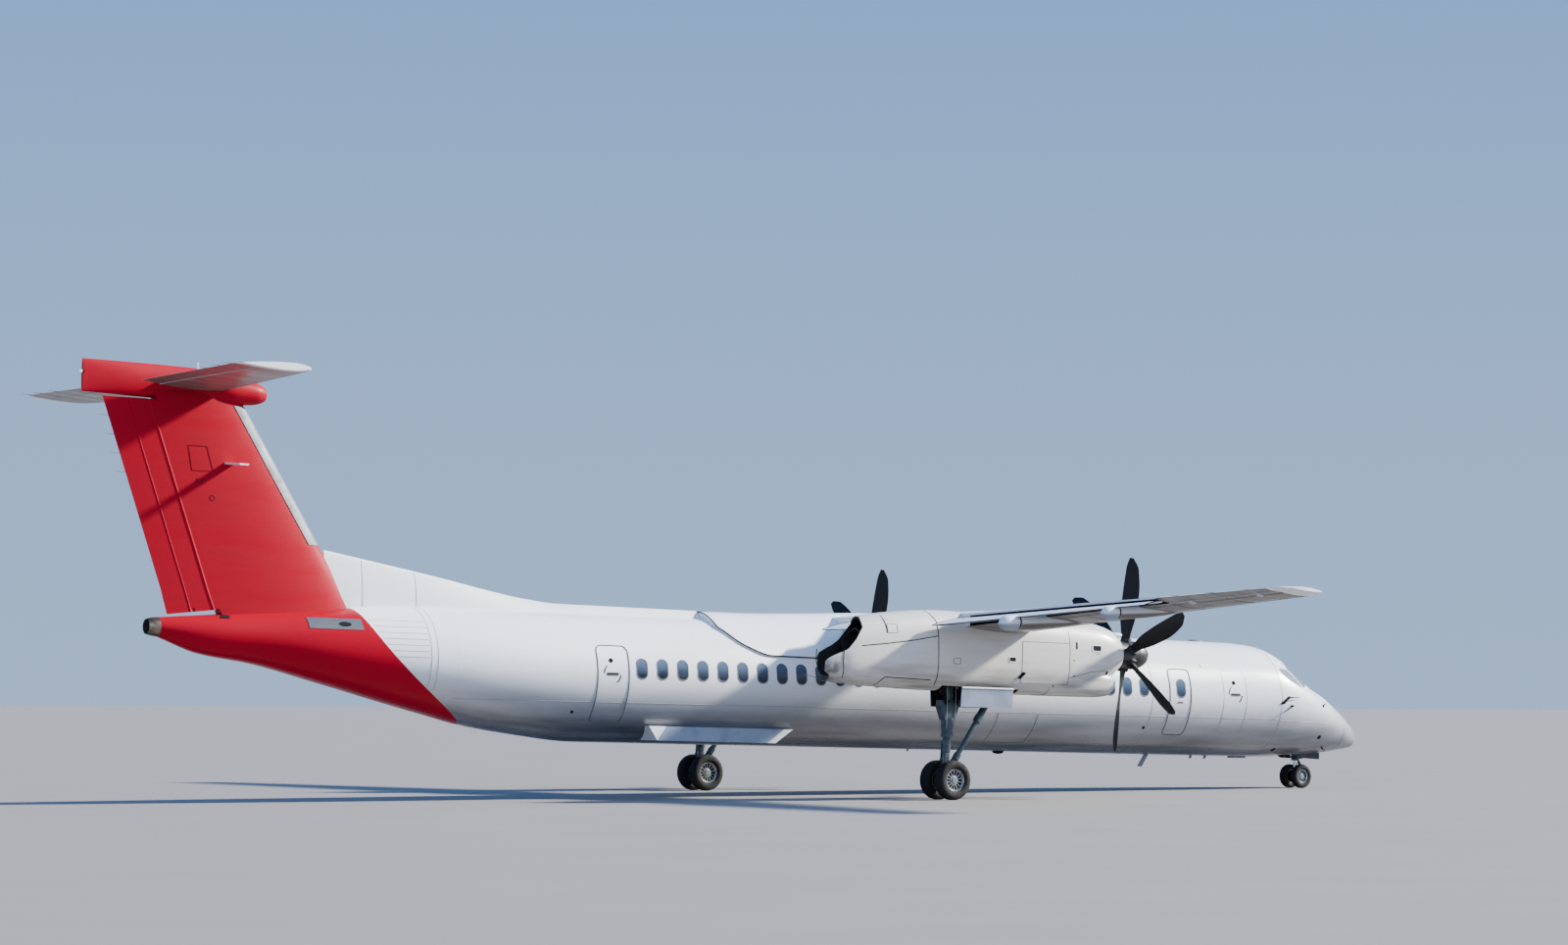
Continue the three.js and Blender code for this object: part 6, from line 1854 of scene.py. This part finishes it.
def build_tail_details():
    """Access plate, vents, panel joints, lamp arms, rods, tail lamp and static wicks of the tail."""
    plate, dark, lamps, arms, lines = Form(), Form(), Form(), Form(), []
    plate.sheet(on_side(RIGHT), steps(-11.95, -10.84, 10), steps(3.09, 3.30, 4), -0.004, 0.008)
    dark.patch(on_side(RIGHT), ellipse(-11.20, 3.19, 0.13, 0.045, 24), -0.002, 0.012, rings=3)
    for side in (LEFT, RIGHT):
        dark.patch(on_side(side), CONE_VENT, -0.004, 0.008, rings=2)
        at = fin_surface(side)
        lines += [([at(x, z, 0.0) for x, z in dense(panel)], True) for panel in FIN_PANELS]
        arms.loft([[(x + dx, side * y, z + dz) for dx, dz in ARM_SECTION] for x, y, z in ARM_ENDS])
    plate.build("inlet_panel", "plate")
    beads("fin_panel_joints", lines, 0.006, "red_line", sides=5)
    dark.build("tail_vents", "gap")
    for side in (LEFT, RIGHT):
        arms.bar((-14.21, side * 0.03, 7.95), (-14.22, side * 0.03, 8.08), 0.008, sides=8)
    arms.build("fin_lamp_arms_and_rods", "white")
    wick = Form().bar((0, 0, 0), (-0.20, 0, 0), 0.004, 0.002, 6)
    spots = [((fin_trail(z) + 0.01, 0, z), (0, 0, 0)) for z in (5.9, 6.25, 6.6, 6.95)]
    copies("rudder_wicks", wick, spots, "gap", body="aft_rudder")
    for name, side in SIDES:
        spots = [((straight(STAB, y)[3] + 0.01, side * y, STAB_Z), (0, 0, 0)) for y in (3.2, 3.8, 4.3)]
        copies(f"elevator_wicks_{name}", wick, spots, "gap", body=f"{name}_elevator")
    lamps.spin([(0.03, 0.0), (0.03, 0.050), (0.0, 0.050), (-0.005, 0.0)], TAIL_LAMP, "x", 20, 1)
    lamps.spin([(0.0, 0.0), (0.0, 0.035), (-0.03, 0.03), (-0.05, 0.0)], TAIL_LAMP, "x", 20)
    lamps.build("tail_lamp", "clear_lens gap")
    joints = []
    for x in (-9.35, -10.55):
        _, top, half = eased(DORSAL, x)
        for side in (LEFT, RIGHT):
            joints.append(([(x, side * half * (1 - 0.62 * r ** 2) * math.sqrt(max(1 - r ** (8 / 3), 0)),
                             DORSAL_FOOT + (top - DORSAL_FOOT) * r) for r in steps(0.12, 0.97, 12)], False))
    beads("dorsal_fin_joints", joints, 0.005, "seam")


# Studio: the photo's camera, a pale floor and soft light

CAMERA = {"place": (-45.727, -63.186, 1.983), "azimuth": -35.750, "pitch": 3.566, "roll": 0.205,
          "focal_px": 3745.9, "photo_px": 1600, "sensor_mm": 36.0}


def build_studio(look):
    """A wide pale floor, soft air, two lights and the camera at the photo's viewing angle."""
    floor = bpy.data.meshes.new("studio_floor")
    reach = 900.0
    floor.from_pydata([(-reach, -reach, 0), (reach, -reach, 0), (reach, reach, 0), (-reach, reach, 0)], [],
                      [(0, 1, 2, 3)])
    made, tree, surface = material("matt_studio_floor", "#807C79", 0.85)
    where = node(tree, "ShaderNodeTexCoord").outputs["Object"]
    colour_of(tree, surface, mixed(tree, cloud(tree, where, 3.0), "#7C7875", "#868280"))
    floor.materials.append(made)
    ground = new_object("studio_floor", floor)

    world = bpy.data.worlds.new("studio_air")
    world.use_nodes = True
    bpy.context.scene.world = world
    air = world.node_tree
    sky = air.nodes["Background"]
    where = node(air, "ShaderNodeTexCoord").outputs["Generated"]
    up = node(air, "ShaderNodeSeparateXYZ", Vector=where).outputs["Z"]
    air.links.new(mixed(air, band(air, up, -0.02, 0.35), "#A3C1E6", "#669DE9"), sky.inputs["Color"])
    sky.inputs["Strength"].default_value = look.sky_strength

    # Lights: name, direction towards the light, strength, width in degrees, colour
    for name, towards, strength, width, tint in (
            ("key_light", (0.84, -0.30, 0.50), look.key_strength, 5, (1.0, 0.97, 0.92)),
            ("fill_light", (-0.35, -0.85, 0.30), look.key_strength * 0.06, 60, (0.95, 0.97, 1.0))):
        lamp = bpy.data.lights.new(name, "SUN")
        lamp.energy = strength
        lamp.angle = math.radians(width)
        lamp.color = tint
        holder = new_object(name, lamp)
        holder.location = [60 * part for part in towards]
        holder.rotation_euler = Vector(towards).to_track_quat("Z", "Y").to_euler()

    eye = bpy.data.cameras.new("photo_camera")
    eye.sensor_width = CAMERA["sensor_mm"]
    eye.lens = CAMERA["focal_px"] / CAMERA["photo_px"] * CAMERA["sensor_mm"]
    eye.clip_start, eye.clip_end = 0.5, 2500.0
    holder = new_object("photo_camera", eye)
    azimuth, pitch, roll = (math.radians(CAMERA[key]) for key in ("azimuth", "pitch", "roll"))
    forward = Vector((-math.sin(azimuth) * math.cos(pitch),
                      math.cos(azimuth) * math.cos(pitch),
                      math.sin(pitch)))
    turn = forward.to_track_quat("-Z", "Y").to_matrix().to_4x4() @ Matrix.Rotation(roll, 4, "Z")
    holder.matrix_world = Matrix.Translation(CAMERA["place"]) @ turn
    bpy.context.scene.camera = holder


# Settings, operators and panel

class AirlinerSizes(bpy.types.PropertyGroup):
    """Sizes that a user may change."""

    window_width: FloatProperty(name="Window width", description="Width of a cabin window", default=0.28,
                                unit="LENGTH")
    window_height: FloatProperty(name="Window height", description="Height of a cabin window", default=0.43,
                                 unit="LENGTH")
    window_pitch: FloatProperty(name="Window pitch", description="Distance from window to window",
                                default=0.4978, unit="LENGTH")
    joint_radius: FloatProperty(name="Joint bead", description="Radius of a sealed skin joint", default=0.007,
                                unit="LENGTH")


class AirlinerLook(bpy.types.PropertyGroup):
    """Paint colours and studio light."""

    white: FloatVectorProperty(name="White", description="Body enamel", subtype="COLOR_GAMMA", size=3,
                               default=(0.965, 0.970, 0.975))
    red: FloatVectorProperty(name="Red", description="Tail enamel", subtype="COLOR_GAMMA", size=3,
                             default=(0.630, 0.000, 0.120))
    key_strength: FloatProperty(name="Key light", description="Strength of the key light", default=14.0)
    sky_strength: FloatProperty(name="Sky", description="Strength of the studio air", default=1.15)


class AIRLINER_OT_finishes(bpy.types.Operator):
    """Makes every finish"""
    bl_idname = "airliner.finishes"
    bl_label = "Finishes"

    def execute(self, context):
        make_finishes(context.scene.airliner_look)
        return {"FINISHED"}


class AIRLINER_OT_fuselage(bpy.types.Operator):
    """Builds the fuselage, its windows, doors, joints, aerials and strakes"""
    bl_idname = "airliner.fuselage"
    bl_label = "Fuselage"

    def execute(self, context):
        sizes = context.scene.airliner_sizes
        build_fuselage()
        build_windows(sizes)
        build_windscreen()
        build_joints(sizes)
        build_handles()
        build_aerials()
        build_strakes()
        build_saddle()
        return {"FINISHED"}


class AIRLINER_OT_airstair(bpy.types.Operator):
    """Builds the airstair door"""
    bl_idname = "airliner.airstair"
    bl_label = "Airstair"

    def execute(self, context):
        build_airstair()
        return {"FINISHED"}


class AIRLINER_OT_wing(bpy.types.Operator):
    """Builds the wing, flaps and ailerons"""
    bl_idname = "airliner.wing"
    bl_label = "Wing"

    def execute(self, context):
        build_wing()
        return {"FINISHED"}


class AIRLINER_OT_tail(bpy.types.Operator):
    """Builds the fin, rudders, cap and stabiliser"""
    bl_idname = "airliner.tail"
    bl_label = "Tail"

    def execute(self, context):
        build_tail()
        build_tail_details()
        return {"FINISHED"}


class AIRLINER_OT_nacelles(bpy.types.Operator):
    """Builds the nacelles and jet pipes"""
    bl_idname = "airliner.nacelles"
    bl_label = "Nacelles"

    def execute(self, context):
        build_nacelles()
        return {"FINISHED"}


class AIRLINER_OT_propellers(bpy.types.Operator):
    """Builds the propellers and spinners"""
    bl_idname = "airliner.propellers"
    bl_label = "Propellers"

    def execute(self, context):
        build_propellers()
        return {"FINISHED"}


class AIRLINER_OT_gear(bpy.types.Operator):
    """Builds the landing gear, wheels and gear doors"""
    bl_idname = "airliner.gear"
    bl_label = "Landing gear"

    def execute(self, context):
        build_wheels()
        build_main_gear()
        build_nose_gear()
        for name in ("engine_left", "engine_right"):
            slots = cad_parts[name].data.materials
            slots.clear()
            slots.append(FINISH["steel"])
        return {"FINISHED"}


class AIRLINER_OT_studio(bpy.types.Operator):
    """Builds the floor, lights and camera"""
    bl_idname = "airliner.studio"
    bl_label = "Studio"

    def execute(self, context):
        build_studio(context.scene.airliner_look)
        return {"FINISHED"}


STEPS = (
    AIRLINER_OT_finishes,
    AIRLINER_OT_studio,
    AIRLINER_OT_fuselage,
    AIRLINER_OT_airstair,
    AIRLINER_OT_wing,
    AIRLINER_OT_tail,
    AIRLINER_OT_nacelles,
    AIRLINER_OT_propellers,
    AIRLINER_OT_gear,
)


class AIRLINER_PT_panel(bpy.types.Panel):
    bl_label = "Airliner"
    bl_idname = "AIRLINER_PT_panel"
    bl_space_type = "VIEW_3D"
    bl_region_type = "UI"
    bl_category = "Airliner"

    def draw(self, context):
        for group in (context.scene.airliner_sizes, context.scene.airliner_look):
            for key in group.bl_rna.properties.keys():
                if key not in ("rna_type", "name"):
                    self.layout.prop(group, key)
        for step in STEPS:
            self.layout.operator(step.bl_idname)


CLASSES = (AirlinerSizes, AirlinerLook, *STEPS, AIRLINER_PT_panel)


def register():
    for made in CLASSES:
        bpy.utils.register_class(made)
    bpy.types.Scene.airliner_sizes = PointerProperty(type=AirlinerSizes)
    bpy.types.Scene.airliner_look = PointerProperty(type=AirlinerLook)


def unregister():
    del bpy.types.Scene.airliner_look
    del bpy.types.Scene.airliner_sizes
    for made in reversed(CLASSES):
        bpy.utils.unregister_class(made)


def main():
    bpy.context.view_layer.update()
    register()
    for step in STEPS:
        group, name = step.bl_idname.split(".")
        getattr(getattr(bpy.ops, group), name)()


if __name__ == "__main__":
    main()
